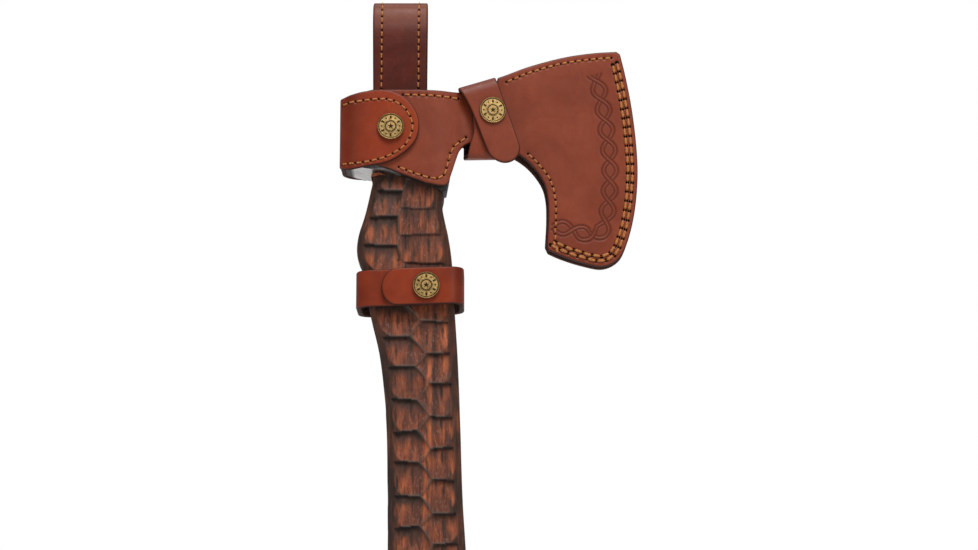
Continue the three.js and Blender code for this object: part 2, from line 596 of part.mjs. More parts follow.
// ---------- assembly ----------
const pollFlap = new THREE.Group();
const neckFlap = new THREE.Group();
const handleFlap = new THREE.Group();
makeHead();
makeHandle();
makeWedges();
makePanels();
makeBeltLoop();
makeHanger();
makePollStrap(pollFlap);
makeNeckStrap(neckFlap);
makeHandleStrap(handleFlap);
makeSnap('poll', pollFlap);
makeSnap('neck', neckFlap);
makeSnap('handle', handleFlap);
RIVETS.forEach((rivet) => addPart(sheath, rivet.name, rivetSolid(rivet), 'brass'));
makeSeams(pollFlap);

const hatchet = new THREE.Group();
hatchet.add(sheath, axe, pollFlap, neckFlap, handleFlap);
hatchet.position.set(0, -LOOP_MID, -LOOP_RISE);

export default hatchet;
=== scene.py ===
import json
import math

import bmesh
import bpy
import numpy as np
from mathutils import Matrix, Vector
from mathutils.geometry import delaunay_2d_cdt


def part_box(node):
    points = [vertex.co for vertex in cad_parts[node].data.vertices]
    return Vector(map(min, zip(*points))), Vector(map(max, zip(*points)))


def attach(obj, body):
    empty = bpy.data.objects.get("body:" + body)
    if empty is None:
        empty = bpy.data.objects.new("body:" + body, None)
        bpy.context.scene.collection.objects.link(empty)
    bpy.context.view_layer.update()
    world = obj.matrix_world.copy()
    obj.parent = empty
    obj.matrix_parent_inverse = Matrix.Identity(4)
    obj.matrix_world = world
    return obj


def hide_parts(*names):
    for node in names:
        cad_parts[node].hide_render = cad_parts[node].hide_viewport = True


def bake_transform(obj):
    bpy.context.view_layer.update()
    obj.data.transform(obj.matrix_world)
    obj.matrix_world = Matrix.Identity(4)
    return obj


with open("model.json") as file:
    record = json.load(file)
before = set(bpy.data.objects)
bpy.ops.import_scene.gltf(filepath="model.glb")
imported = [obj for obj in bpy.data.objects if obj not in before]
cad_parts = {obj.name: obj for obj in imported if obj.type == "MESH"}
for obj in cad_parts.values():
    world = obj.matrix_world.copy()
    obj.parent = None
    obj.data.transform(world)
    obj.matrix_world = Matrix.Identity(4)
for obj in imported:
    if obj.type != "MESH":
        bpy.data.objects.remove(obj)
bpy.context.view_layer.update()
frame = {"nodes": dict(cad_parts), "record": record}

RANDOM = np.random.default_rng(7)


# ---------- the design frame ----------
# The frame's origin is the belt's seat, which lies this high in the design frame.
SEAT_HEIGHT = 2.4
MID_Y = sum(corner[1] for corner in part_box("edge_welt")) * 500
SHIFT = np.array([0, MID_Y, -SEAT_HEIGHT])


def node_box(node):
    """Lowest and highest corner of a CAD node in the design frame, in millimetres."""
    return (np.array(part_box(node)) * 1000) - SHIFT


def mm(x, y, z=0):
    """A point of the design frame in the frame's metres."""
    return tuple((np.array([x, y, z]) + SHIFT) / 1000)


# ---------- sizes shared with the frame ----------
LEATHER = 2.8
GAP = 0.3
PANEL_OUTER = node_box("back_panel")[1][1]
PANEL_INNER = PANEL_OUTER - LEATHER
WELT_HALF = node_box("edge_welt")[1][1]
WELT_WIDTH = 7
TONGUE_FACE = -node_box("poll_tongue")[0][1]
HANGER_REAR = node_box("hanger_strap")[1][1]
LOOP_LOW, LOOP_HIGH = node_box("belt_loop")
BAND_LOW, BAND_HIGH = node_box("handle_band")
BAND_END_FACE = -node_box("handle_band_end")[0][1]
HANDLE_FACE = -node_box("handle_tongue")[0][1]
BAND_LEFT = node_box("handle_bend_left")[0][0]
BAND_RIGHT = node_box("handle_bend_right")[1][0]

# Half thickness of the panels' inner face along X, as on the frame.
PANEL_SIDE = [
    (-60, PANEL_INNER), (-10, PANEL_INNER), (12, PANEL_INNER), (24, 14.2), (31, 11.3),
    (37, 8.6), (44, 7.2), (55, 6.1), (75, 4.6), (100, 3.0), (112, WELT_HALF + GAP),
    (140, WELT_HALF + GAP),
]

# ---------- sizes of the finer work ----------
# distance of the edge's two seams from the rim, and the radii of the threads
SEAM_OUTER, SEAM_INNER = 2.9, 5.4
EDGE_THREAD, FINE_THREAD, LOOP_THREAD = 0.76, 0.47, 0.42
# pitch of the stitches along the edge, along the straps and along the other seams
EDGE_PITCH, STRAP_PITCH, TOE_PITCH, BEARD_PITCH, EYE_PITCH = 5.2, 4.25, 3.9, 3.8, 4.2
# a cut edge of leather is rounded with this radius, over rings this far inside it
RIM_RADIUS = 0.95
RIM_INSETS = (0.0, 0.1, 0.3, 0.6, 0.95)
RIM_STEP = 0.75
# a stitch hole's depth, and the rings round it for a thread of radius 1: radius, depth, and
# darkness of the painted shade in the hole
PIT_DEPTH = 1.3
PIT_RINGS = ((0.9, 1.05, 1.0), (1.3, 0.45, 0.95), (1.6, 0.04, 0.15))
# a strap's covered end stays square this far in
RAW_END = 0.6


# ---------- lines ----------
def smooth(stations, per_span=12):
    """A centripetal Catmull-Rom line through the stations."""
    points = np.array(stations, float)
    padded = np.vstack([2 * points[0] - points[1], points, 2 * points[-1] - points[-2]])
    line = []
    for four in zip(padded, padded[1:], padded[2:], padded[3:]):
        steps = [max(np.linalg.norm(b - a), 1e-6) ** 0.5 for a, b in zip(four, four[1:])]
        knots = np.concatenate([[0], np.cumsum(steps)])
        for t in np.linspace(knots[1], knots[2], per_span, endpoint=False):
            rung = four
            for spans in (((0, 1), (1, 2), (2, 3)), ((0, 2), (1, 3)), ((1, 2),)):
                rung = [((knots[j] - t) * a + (t - knots[i]) * b) / (knots[j] - knots[i])
                        for a, b, (i, j) in zip(rung, rung[1:], spans)]
            line.append(rung[0])
    line.append(points[-1])
    return np.array(line)


def lengths(line):
    """Distance along a line at each of its points."""
    steps = np.linalg.norm(np.diff(line, axis=0), axis=1)
    return np.concatenate([[0], np.cumsum(steps)])


def resample(line, step, closed=False):
    line = np.array(line, float)
    if closed:
        line = np.vstack([line, line[:1]])
    along = lengths(line)
    count = max(int(round(along[-1] / step)), 2)
    where = np.linspace(0, along[-1], count + 1)
    points = np.column_stack([np.interp(where, along, line[:, k]) for k in range(line.shape[1])])
    return points[:-1] if closed else points


def tangents(line, closed=False):
    if closed:
        ahead = np.roll(line, -1, axis=0) - np.roll(line, 1, axis=0)
    else:
        ahead = np.gradient(line, axis=0)
    return ahead / np.maximum(np.linalg.norm(ahead, axis=1, keepdims=True), 1e-9)


def offset(line, distance, closed=False):
    """The line moved to its left as it is walked."""
    along = tangents(line, closed)
    return line + np.column_stack([-along[:, 1], along[:, 0]]) * distance


def counter_clockwise(loop):
    x, y = loop[:, 0], loop[:, 1]
    area = np.sum(x * np.roll(y, -1) - np.roll(x, -1) * y)
    return loop if area > 0 else loop[::-1]


def inside(points, loop):
    """True for each point inside the closed loop."""
    result = np.zeros(len(points), bool)
    x, y = points[:, 0], points[:, 1]
    for (ax, ay), (bx, by) in zip(loop, np.roll(loop, -1, axis=0)):
        crosses = (ay > y) != (by > y)
        if ay != by:
            result ^= crosses & (x < (bx - ax) * (y - ay) / (by - ay) + ax)
    return result


def nearest(points, others):
    """Distance from each point to the nearest of the others."""
    best = np.full(len(points), np.inf)
    for start in range(0, len(others), 200):
        part = others[start:start + 200]
        gap = np.linalg.norm(points[:, None, :] - part[None, :, :], axis=2).min(axis=1)
        best = np.minimum(best, gap)
    return best


def hump(distance, width):
    """A bell that is 1 where the distance is 0."""
    return np.exp(-(distance / width) ** 2)


def unit(values):
    """The values held between 0 and 1."""
    return np.clip(values, 0, 1)


def arc(cx, cy, radius, start, stop, count=12):
    turns = np.radians(np.linspace(start, stop, count))
    return np.column_stack([cx + radius * np.cos(turns), cy + radius * np.sin(turns)])


# ---------- meshes ----------
def add_object(name, data):
    """An object for the data, in the scene."""
    item = bpy.data.objects.new(name, data)
    bpy.context.scene.collection.objects.link(item)
    return item


def new_object(name, vertices, faces, material, flags=None, crease=None):
    mesh = bpy.data.meshes.new(name)
    placed = (np.array(vertices, float) + SHIFT) / 1000
    mesh.from_pydata(placed.tolist(), [], [list(f) for f in faces])
    for key, values in (flags or {}).items():
        attribute = mesh.attributes.new(key, "FLOAT", "POINT")
        attribute.data.foreach_set("value", np.array(values, np.float32))
    mesh.shade_smooth()
    if crease:
        mesh.set_sharp_from_angle(angle=math.radians(crease))
    mesh.materials.append(material)
    return add_object(name, mesh)


def tube_faces(base, spans, around):
    """Faces of a closed tube, whose rings of points follow each other from base on."""
    faces = []
    last = base + spans * around
    for row in range(base, last, around):
        for k in range(around):
            a, b = row + k, row + (k + 1) % around
            faces.append((a, b, b + around, a + around))
    return [*faces, tuple(range(base, base + around))[::-1], tuple(range(last, last + around))]


def copy_node(node):
    """The mesh of a CAD node, ready to be edited."""
    source = frame["nodes"][node]
    work = bmesh.new()
    work.from_mesh(source.data)
    work.transform(source.matrix_world)
    return work


def finish_copy(name, work, *materials):
    mesh = bpy.data.meshes.new(name)
    work.to_mesh(mesh)
    work.free()
    mesh.shade_smooth()
    mesh.set_sharp_from_angle(angle=math.radians(35))
    for material in materials:
        mesh.materials.append(material)
    return add_object(name, mesh)


def settle(item, slot, body, *nodes):
    """Hide the nodes that a piece stands for and hang the piece on the body it rides on; slot is
    not used.
    """
    if nodes:
        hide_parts(*nodes)
    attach(item, body)


# ---------- sheets of leather ----------
def rim_drop(distance):
    reach = np.clip(RIM_RADIUS - distance, 0, RIM_RADIUS)
    return RIM_RADIUS - np.sqrt(RIM_RADIUS ** 2 - reach ** 2)


def hex_grid(low, high, step):
    rows = []
    y = low[1]
    odd = False
    while y <= high[1]:
        x = np.arange(low[0] + (step / 2 if odd else 0), high[0], step)
        rows.append(np.column_stack([x, np.full(len(x), y)]))
        y += step * math.sqrt(0.75)
        odd = not odd
    return np.vstack(rows)


def sheet_rows(points, drop=0, edge=0, depth=0, hole=0):
    """Points of a sheet, each with its drop at the rim, its share of the rim, the depth it is
    pressed in, and how much shade is painted into it at a stitch hole."""
    shares = [np.broadcast_to(value, len(points)) for value in (drop, edge, depth, hole)]
    return np.column_stack([points, *shares])


def rim_rows(rim, square):
    rows = []
    for inset in RIM_INSETS:
        rows.append(sheet_rows(offset(rim, inset, closed=True),
                               np.where(square, 0, rim_drop(inset)),
                               np.where(square, 0, 1 - inset / RIM_INSETS[-1])))
    return rows


def pit_rows(pits):
    """The middle of each stitch hole, and eight points on each ring round it."""
    spots, radii = pits[:, :2], pits[:, 2:]
    rows = [sheet_rows(spots, depth=PIT_DEPTH, hole=1)]
    for radius, depth, dark in PIT_RINGS:
        for k in range(8):
            turn = math.pi * k / 4
            spoke = np.array([math.cos(turn), math.sin(turn)])
            rows.append(sheet_rows(spots + radius * radii * spoke, depth=depth, hole=dark))
    return rows


def sheet_grid(rim, last_ring, pits, step, fine):
    """Points all over a sheet, denser where it is fine, clear of its rim and its holes."""
    low, high = rim.min(axis=0), rim.max(axis=0)
    grid = hex_grid(low, high, step)
    if fine:
        dense = hex_grid(low, high, step * 0.45)
        grid = np.vstack([grid[~fine(grid[:, 0], grid[:, 1])],
                          dense[fine(dense[:, 0], dense[:, 1])]])
    grid = grid[inside(grid, last_ring)]
    grid = grid[nearest(grid, last_ring) > step * 0.45]
    clear = PIT_RINGS[-1][0] * pits[:, 2].max(initial=0) + 0.12
    return grid[nearest(grid, pits[:, :2]) > clear]


def sheet_walls(loop, heart, outer, normal):
    """Faces between the outer and the inner side along the rim; heart is a point inside it."""
    total = len(outer)
    a, b = loop[0], loop[1]
    side = np.cross(outer[b] - outer[a], normal[a])
    outward = np.dot(side, outer[a] - outer[heart]) > 0
    walls = []
    for i, j in zip(loop, loop[1:] + loop[:1]):
        walls.append((i, i + total, j + total, j) if outward else (j, j + total, i + total, i))
    return walls


def leather(name, outline, surface, material, *, thick=LEATHER, step=0.9,
            pits=np.empty((0, 3)), relief=None, fine=None, raw=None, bend_shading=None):
    """A sheet of leather. The outline lies in the surface's own two coordinates, and surface
    turns them into points and outward normals. pits are stitch holes (two coordinates and
    the radius of the thread), relief is how deep the face is pressed in, fine marks where the
    mesh is denser, raw marks cut edges that meet another sheet and stay square, and the last
    says how much shading is painted where a strap bends: painted shade, which the belt loop's
    material turns into a painted sheen."""
    rim = counter_clockwise(resample(outline, RIM_STEP, closed=True))
    count = len(rim)
    square = raw(rim[:, 0], rim[:, 1]) if raw else np.zeros(count, bool)
    rings = rim_rows(rim, square)
    grid = sheet_grid(rim, rings[-1][:, :2], pits, step, fine)
    flat = np.vstack([*rings, *pit_rows(pits), sheet_rows(grid)])
    loops = [(k * count + i, k * count + (i + 1) % count)
             for k in range(1, len(rings)) for i in range(count)]
    out = delaunay_2d_cdt([Vector(p) for p in flat[:, :2].tolist()], loops,
                          [list(range(count))], 1, 1e-7, True)
    uv = np.array([list(v) for v in out[0]])
    source = np.array([ids[0] if ids else 0 for ids in out[3]])
    drop, edge, depth, hole = flat[source, 2:].T
    triangles = np.array([f for f in out[2] if len(f) == 3])
    triangles = triangles[inside(uv[triangles].mean(axis=1), rim)]
    if relief:
        depth = depth + relief(uv[:, 0], uv[:, 1])
    face, normal = surface(uv[:, 0], uv[:, 1])
    outer = face - normal * (drop + depth)[:, None]
    inner = face - normal * (thick - drop)[:, None]
    a, b, c = outer[triangles[0]]
    if np.dot(np.cross(b - a, c - a), normal[triangles[0][0]]) < 0:
        triangles = triangles[:, ::-1]
    where = {int(s): i for i, s in enumerate(source)}
    walls = sheet_walls([where[i] for i in range(count)], where[(len(rings) - 1) * count],
                        outer, normal)
    total = len(uv)
    faces = [tuple(t) for t in triangles] + [tuple(t[::-1] + total) for t in triangles] + walls
    # painted shading at the strap's bends
    stretch = bend_shading(uv[:, 0], uv[:, 1]) if bend_shading else np.zeros(total)
    zero = np.zeros(total)
    flags = {
        "rim": np.concatenate([edge, edge]),
        "hole": np.concatenate([hole, zero]),
        "dent": np.concatenate([unit(depth * (hole == 0) * 2.2), zero]),
        "flesh": np.concatenate([zero, 1 - edge]),
        "bend_shading": np.concatenate([stretch, zero]),
    }
    return new_object(name, np.vstack([outer, inner]), faces, material, flags)


def turned(s, *turns, width=5):
    """How much shading is painted along a strap at the lengths where it turns."""
    return unit(sum(hump(s - turn, width) for turn in turns))


# ---------- surfaces ----------
PANEL_LINE = smooth(PANEL_SIDE, 10)


def panel_half(x):
    return np.interp(x, PANEL_LINE[:, 0], PANEL_LINE[:, 1])


def panel_surface(side):
    """Outer face of the front (-1) or back (1) panel."""
    def surface(x, z):
        y = panel_half(x) + LEATHER
        slope = (panel_half(x + 0.4) - panel_half(x - 0.4)) / 0.8
        normal = np.column_stack([-slope, np.full(len(x), float(side)), np.zeros(len(x))])
        normal /= np.linalg.norm(normal, axis=1, keepdims=True)
        return np.column_stack([x, side * y, z]), normal
    return surface


def flat_surface(y, side):
    def surface(x, z):
        normal = np.tile([0.0, float(side), 0.0], (len(x), 1))
        return np.column_stack([x, np.full(len(x), y), z]), normal
    return surface


def swept_surface(path, widthways, outwards):
    """A strap that follows a path: the first coordinate runs along it, the second across."""
    along = lengths(path)

    def surface(s, t):
        def at(values):
            return np.column_stack([np.interp(s, along, values[:, k]) for k in range(3)])
        return at(path) + at(widthways) * t[:, None], at(outwards)
    return surface, along[-1]


def upright_strap(plan):
    """Surface of a strap whose path lies in the X-Y plane and whose width runs along Z."""
    plan = resample(plan, 0.4)
    path = np.column_stack([plan, np.zeros(len(plan))])
    along = tangents(plan)
    outwards = np.column_stack([along[:, 1], -along[:, 0], np.zeros(len(plan))])
    widthways = np.tile([0.0, 0.0, 1.0], (len(plan), 1))
    return swept_surface(path, widthways, outwards)


# ---------- threads ----------
STITCH_SPANS = 12
STITCH_SIDES = 8
# how deep a stitch dives, over what length it comes up, and how flat it lies
STITCH_DIVE = 1.15
STITCH_RISE = 1.1
STITCH_FLAT = 0.8


def stitch_holes(line, pitch, radius=FINE_THREAD):
    """Holes along a line, each with the radius of the thread that passes through it."""
    holes = resample(line, pitch)
    return np.column_stack([holes, np.full(len(holes), radius)])


def stitch_path(start, stop, radius, surface):
    """The middle of one stitch from hole to hole, its normals, and 1 where it lies on top."""
    share = np.linspace(0, 1, STITCH_SPANS + 1)
    span = np.linalg.norm(stop - start)
    along = (stop - start) / span
    across = np.array([-along[1], along[0]])
    sway = RANDOM.normal(0, 0.09) * np.sin(share * math.pi)
    middle = start + share[:, None] * (stop - start) + across * sway[:, None]
    face, normal = surface(middle[:, 0], middle[:, 1])
    crown = unit((0.5 - np.abs(share - 0.5)) * span / STITCH_RISE)
    crown = crown * crown * (3 - 2 * crown)
    height = (1.0 + 0.7 * radius + RANDOM.normal(0, 0.04)) * crown - STITCH_DIVE
    return face + normal * height[:, None], normal, crown


def sew(name, holes, surface):
    """A row of stitches, each a short twisted thread that dives into a hole at both ends."""
    vertices, faces, crown_shading = [], [], []
    radius = holes[0, 2]
    for start, stop in zip(holes[:-1, :2], holes[1:, :2]):
        centre, normal, crown = stitch_path(start, stop, radius, surface)
        sideways = np.cross(tangents(centre), normal)
        base = len(vertices)
        for i in range(STITCH_SPANS + 1):
            girth = radius * (0.72 + 0.28 * crown[i])
            for k in range(STITCH_SIDES):
                turn = 2 * math.pi * k / STITCH_SIDES
                ridge = 1 + 0.09 * math.cos(2 * turn + 9 * i / STITCH_SPANS)
                ring = math.cos(turn) * sideways[i] + STITCH_FLAT * math.sin(turn) * normal[i]
                vertices.append(centre[i] + ring * girth * ridge)
                # the crown sets the painted shade where the thread dives into its hole
                crown_shading.append(crown[i])
        faces += tube_faces(base, STITCH_SPANS, STITCH_SIDES)
    return new_object(name, vertices, faces, THREAD_LOOK, {"crown": crown_shading})


# ---------- material helpers ----------
class Nodes:
    """A short way to write a node tree."""

    def __init__(self, name):
        self.material = bpy.data.materials.new(name)
        self.material.use_nodes = True
        self.tree = self.material.node_tree
        self.shader = self.tree.nodes["Principled BSDF"]

    def add(self, kind, settings=None, **inputs):
        node = self.tree.nodes.new(kind)
        for key, value in (settings or {}).items():
            setattr(node, key, value)
        for key, value in inputs.items():
            self.feed(node, key.replace("_", " "), value)
        return node

    def feed(self, node, key, value):
        socket = node.inputs[int(key) if key.isdigit() else key]
        if isinstance(value, bpy.types.NodeSocket):
            self.tree.links.new(value, socket)
        else:
            socket.default_value = value

    def coords(self, scale):
        spot = self.add("ShaderNodeTexCoord")
        mapping = self.add("ShaderNodeMapping")
        self.feed(mapping, "Vector", spot.outputs["Object"])
        mapping.inputs["Scale"].default_value = scale
        return mapping.outputs["Vector"]

    def noise(self, scale, detail=4, rough=0.55, stretch=(1, 1, 1), warp=0.0):
        node = self.add("ShaderNodeTexNoise", None, Scale=scale, Detail=detail, Roughness=rough,
                        Distortion=warp)
        self.feed(node, "Vector", self.coords(stretch))
        return node.outputs["Fac"]

    def ramp(self, value, stops):
        node = self.add("ShaderNodeValToRGB")
        self.feed(node, "Fac", value)
        elements = node.color_ramp.elements
        while len(elements) < len(stops):
            elements.new(0.5)
        for element, (place, color) in zip(elements, stops):
            element.position = place
            element.color = (*color, 1) if len(color) == 3 else color
        return node.outputs["Color"]

    def level(self, value, low, high, start=0.0, stop=1.0):
        node = self.add("ShaderNodeMapRange")
        for key, number in (("From Min", low), ("From Max", high), ("To Min", start),
                            ("To Max", stop)):
            self.feed(node, key, number)
        self.feed(node, "Value", value)
        return node.outputs["Result"]

    def math(self, operation, a, b):
        node = self.add("ShaderNodeMath", {"operation": operation})
        self.feed(node, "0", a)
        self.feed(node, "1", b)
        return node.outputs["Value"]

    def blend(self, share, a, b, mode="MIX"):
        node = self.add("ShaderNodeMix", {"data_type": "RGBA", "blend_type": mode})
        self.feed(node, "0", share)
        self.feed(node, "6", a if isinstance(a, bpy.types.NodeSocket) else (*a, 1))
        self.feed(node, "7", b if isinstance(b, bpy.types.NodeSocket) else (*b, 1))
        return node.outputs[2]

    def flag(self, name):
        return self.add("ShaderNodeAttribute", {"attribute_name": name}).outputs["Fac"]

    def bump(self, height, strength, distance, below=None):
        node = self.add("ShaderNodeBump", None, Strength=strength, Distance=distance)
        self.feed(node, "Height", height)
        if below:
            self.feed(node, "Normal", below)
        return node.outputs["Normal"]

    def set(self, **inputs):
        for key, value in inputs.items():
            self.feed(self.shader, key.replace("_", " "), value)
        return self.material


def leather_material(name, deep, mid, light, rough=0.42, gloss=0.24, painted_sheen=None):
    """Waxed full-grain leather: clouded dye, fine pores, burnished rims and a tan flesh side,
    with painted shade in the stitch holes and at a strap's bends; a given sheen colour makes the
    bends a painted sheen instead.
    """
    n = Nodes(name)
    darker = tuple(c * 0.5 for c in deep)
    cloud = n.noise(45, 5, 0.6, warp=0.6)
    color = n.ramp(cloud, [(0.3, deep), (0.52, mid), (0.72, light)])
    streak = n.noise(420, 3, 0.7, stretch=(1, 1, 0.5))
    color = n.blend(n.level(streak, 0.35, 0.75, 0.0, 0.3), color, deep)
    # painted shade at a strap's bends, or the given colour of a painted sheen there
    color = n.blend(n.math("MULTIPLY", n.flag("bend_shading"), 0.62), color, painted_sheen or darker)
    color = n.blend(n.math("MULTIPLY", n.flag("dent"), 0.8), color, darker)
    suede = n.ramp(n.noise(700, 3), [(0.3, (0.03, 0.011, 0.007)), (0.7, (0.07, 0.026, 0.015))])
    color = n.blend(n.flag("flesh"), color, suede)
    rim = n.level(n.flag("rim"), 0.15, 0.85)
    color = n.blend(n.math("MULTIPLY", rim, 0.88), color, (0.022, 0.008, 0.006))
    # painted shade in and round the stitch holes
    color = n.blend(n.level(n.flag("hole"), 0.25, 0.9), color, (0.004, 0.002, 0.001))
    pores = n.add("ShaderNodeTexVoronoi", None, Scale=1500)
    n.feed(pores, "Vector", n.coords((1, 1, 1)))
    grain = n.bump(pores.outputs["Distance"], 0.16, 0.00012)
    creases = n.bump(n.noise(260, 5, 0.65), 0.22, 0.0004, grain)
    roughness = n.level(n.noise(150, 4), 0.3, 0.75, rough - 0.06, rough + 0.1)
    roughness = n.math("ADD", roughness, n.math("MULTIPLY", n.flag("flesh"), 0.4))
    for dull, share in ((n.flag("dent"), 0.3), (n.flag("hole"), 0.6), (rim, 0.25)):
        roughness = n.math("ADD", roughness, n.math("MULTIPLY", dull, share))
    return n.set(Base_Color=color, Roughness=roughness, Normal=creases,
                 Specular_IOR_Level=gloss)


def thread_material():
    n = Nodes("waxed_thread")
    fibre = n.noise(1600, 3, 0.6)
    color = n.ramp(fibre, [(0.3, (0.2, 0.062, 0.01)), (0.55, (0.42, 0.14, 0.024)),
                           (0.75, (0.62, 0.25, 0.06))])
    # painted shade where the thread dives into its holes
    color = n.blend(n.level(n.flag("crown"), 0.0, 0.75, 0.85, 0.0), color,
                    (0.03, 0.01, 0.004))
    return n.set(Base_Color=color, Roughness=0.6, Normal=n.bump(fibre, 0.5, 0.0002))


def brass_material(light, dark, rough):
    """Antique brass, dark in its recesses."""
    n = Nodes("antique_brass")
    patina = n.noise(900, 5, 0.65)
    color = n.ramp(patina, [(0.32, dark), (0.6, light)])
    color = n.blend(n.level(n.flag("recess"), 0.1, 0.9), color, tuple(c * 0.16 for c in dark))
    return n.set(Base_Color=color, Metallic=1.0, Normal=n.bump(patina, 0.2, 0.0001),
                 Roughness=n.level(patina, 0.3, 0.7, rough, rough + 0.22))


# where the bright steel of the poll ends and that of the edge starts, in metres along X; painted
# shade covers the head between them and behind POLL_START
POLL_END = -0.003
POLL_START = -0.025
GRIND_LINE = 0.098


def steel_material():
    """Steel with painted shade on the cheeks under the leather and a painted shadow at the end of
    the poll, ground bright at the poll and along the edge.
    """
    n = Nodes("forged_steel")
    lines = n.noise(700, 3, 0.6, stretch=(0.15, 1, 1))
    color = n.ramp(lines, [(0.3, (0.42, 0.41, 0.4)), (0.7, (0.74, 0.73, 0.71))])
    stain = n.noise(60, 5, 0.6)
    color = n.blend(n.level(stain, 0.5, 0.75, 0.0, 0.5), color, (0.16, 0.14, 0.13))
    place = n.add("ShaderNodeSeparateXYZ")
    n.feed(place, "Vector", n.coords((1, 1, 1)))
    # painted shade on the cheeks, where the head sits under the leather
    head_shade = n.math("MINIMUM", n.level(place.outputs["X"], POLL_END, POLL_END + 0.006),
                   n.level(place.outputs["X"], GRIND_LINE + 0.003, GRIND_LINE))
    # painted shadow at the end of the poll, under the strap
    rear = n.level(place.outputs["X"], POLL_START + 0.002, POLL_START)
    head_shade = n.math("MAXIMUM", head_shade, rear)
    color = n.blend(head_shade, color, (0.02, 0.017, 0.015))
    rough = n.math("ADD", n.level(lines, 0.3, 0.7, 0.3, 0.46), n.math("MULTIPLY", head_shade, 0.2))
    return n.set(Base_Color=color, Metallic=n.level(head_shade, 0, 1, 1.0, 0.35), Roughness=rough,
                 Normal=n.bump(lines, 0.12, 0.0002))


def wood_material():
    """Carved, scorched and oiled wood, warm in the scoops. Scorching and painted shade darken it
    under each ledge, at the dividers, in the grooves, at the corners and on the sides; a painted
    highlight greys the ridges and a painted shadow blackens the wood just under each ledge.
    """
    n = Nodes("carved_wood")
    grain = n.noise(210, 6, 0.7, stretch=(1, 1, 0.05), warp=0.5)
    warm = n.ramp(grain, [(0.3, (0.03, 0.011, 0.007)), (0.43, (0.12, 0.03, 0.013)),
                          (0.56, (0.32, 0.078, 0.027)), (0.72, (0.66, 0.175, 0.05))])
    shade = n.noise(70, 3, 0.6, stretch=(1, 1, 0.6))
    warm = n.blend(n.level(shade, 0.46, 0.66, 0.0, 0.75), warm, (0.075, 0.026, 0.017))
    pores = n.noise(1300, 2, 0.6, stretch=(1, 1, 0.35))
    warm = n.blend(n.level(pores, 0.55, 0.72, 0.0, 0.45), warm, (0.26, 0.15, 0.11))
    soot_and_shade = n.ramp(n.noise(420, 5, 0.7, stretch=(1, 1, 0.15)),
                  [(0.3, (0.016, 0.008, 0.005)), (0.55, (0.045, 0.021, 0.014)),
                   (0.78, (0.11, 0.042, 0.024))])
    patch = n.noise(90, 4, 0.6, stretch=(1, 1, 0.5))
    # scorching and painted shade, with random patches of it
    char_and_shade = n.math("ADD", n.flag("char_and_shade"), n.level(patch, 0.35, 0.7, -0.25, 0.25))
    color = n.blend(n.level(char_and_shade, 0.1, 0.95), warm, soot_and_shade)
    # painted highlight on the ridges
    color = n.blend(n.math("MULTIPLY", n.flag("ridge"), 0.8), color, (0.13, 0.105, 0.09))
    # painted shadow just under each ledge
    color = n.blend(n.flag("cleft"), color, (0.004, 0.003, 0.002))
    fibres = n.bump(grain, 0.5, 0.0006)
    fine = n.bump(n.noise(900, 4, 0.6, stretch=(1, 1, 0.08)), 0.3, 0.00025, fibres)
    return n.set(Base_Color=color, Roughness=n.level(grain, 0.3, 0.7, 0.5, 0.68), Normal=fine,
                 Specular_IOR_Level=0.25)


def end_grain_material():
    n = Nodes("end_grain")
    rings = n.add("ShaderNodeTexWave", {"wave_type": "RINGS"}, Scale=260, Distortion=5)
    n.feed(rings, "Vector", n.coords((1, 1, 0.1)))
    year = rings.outputs["Fac"]
    color = n.ramp(year, [(0.2, (0.13, 0.055, 0.024)), (0.8, (0.3, 0.16, 0.075))])
    return n.set(Base_Color=color, Roughness=0.62, Normal=n.bump(year, 0.2, 0.0002))


LEATHER_LOOK = leather_material("chestnut_leather", (0.155, 0.026, 0.009),
                                (0.195, 0.035, 0.013), (0.23, 0.045, 0.017))
STRAP_LOOK = leather_material("russet_leather", (0.165, 0.021, 0.006), (0.225, 0.029, 0.007),
                              (0.275, 0.041, 0.011), 0.38, 0.22)
# the last colour of the dark leather is the painted sheen where the belt loop curves over the
# belt
LOOP_LOOK = leather_material("dark_leather", (0.055, 0.007, 0.003), (0.08, 0.01, 0.004),
                             (0.11, 0.016, 0.007), 0.42, 0.18, (0.2, 0.06, 0.032))
WELT_LOOK = leather_material("black_welt", (0.006, 0.003, 0.002), (0.01, 0.005, 0.004),
                             (0.018, 0.008, 0.006), 0.75, 0.06)
THREAD_LOOK = thread_material()
BRASS_LOOK = brass_material((0.56, 0.37, 0.15), (0.3, 0.19, 0.07), 0.38)
STEEL_LOOK = steel_material()
WOOD_LOOK = wood_material()
WEDGE_LOOK = end_grain_material()

# ---------- outlines of the sheath, in X and Z ----------
# The cutting edge and heel: the rim lies this far outside the points it follows.
EDGE = offset(resample(smooth([
    (121.3, -34.5), (123.9, -45.7), (127.5, -65.9), (129.8, -88.2), (130.1, -104),
    (128.2, -123), (124.5, -138), (119.6, -148), (111.5, -152.1), (100.1, -150.2),
    (88, -146.1), (82, -143.3)]), 0.7), 0.35)
BEARD = smooth([(81.2, -140.5), (82, -125), (81.6, -114.4), (79.5, -106.5), (73.5, -97.6),
                (66.8, -91.7), (57, -86.6), (46, -85.2), (40.1, -85.6)])
NOTCH = smooth([(37.4, -86.8), (34.6, -90), (33, -94.2), (29.6, -105), (28.4, -108.4),
                (26.6, -110.1), (23, -110.4)])
LOWER = smooth([(16.1, -109.3), (3.8, -104.8), (-3.5, -101.7)])
TOP = np.vstack([smooth([(22, -57.8), (32, -57.9), (42, -56.9), (50, -54.2), (53.9, -52.7)]),
                 smooth([(54.8, -48.6), (60, -46.6), (71.8, -41.9), (92, -36.1), (108, -33.6),
                         (119.7, -32.9)])])
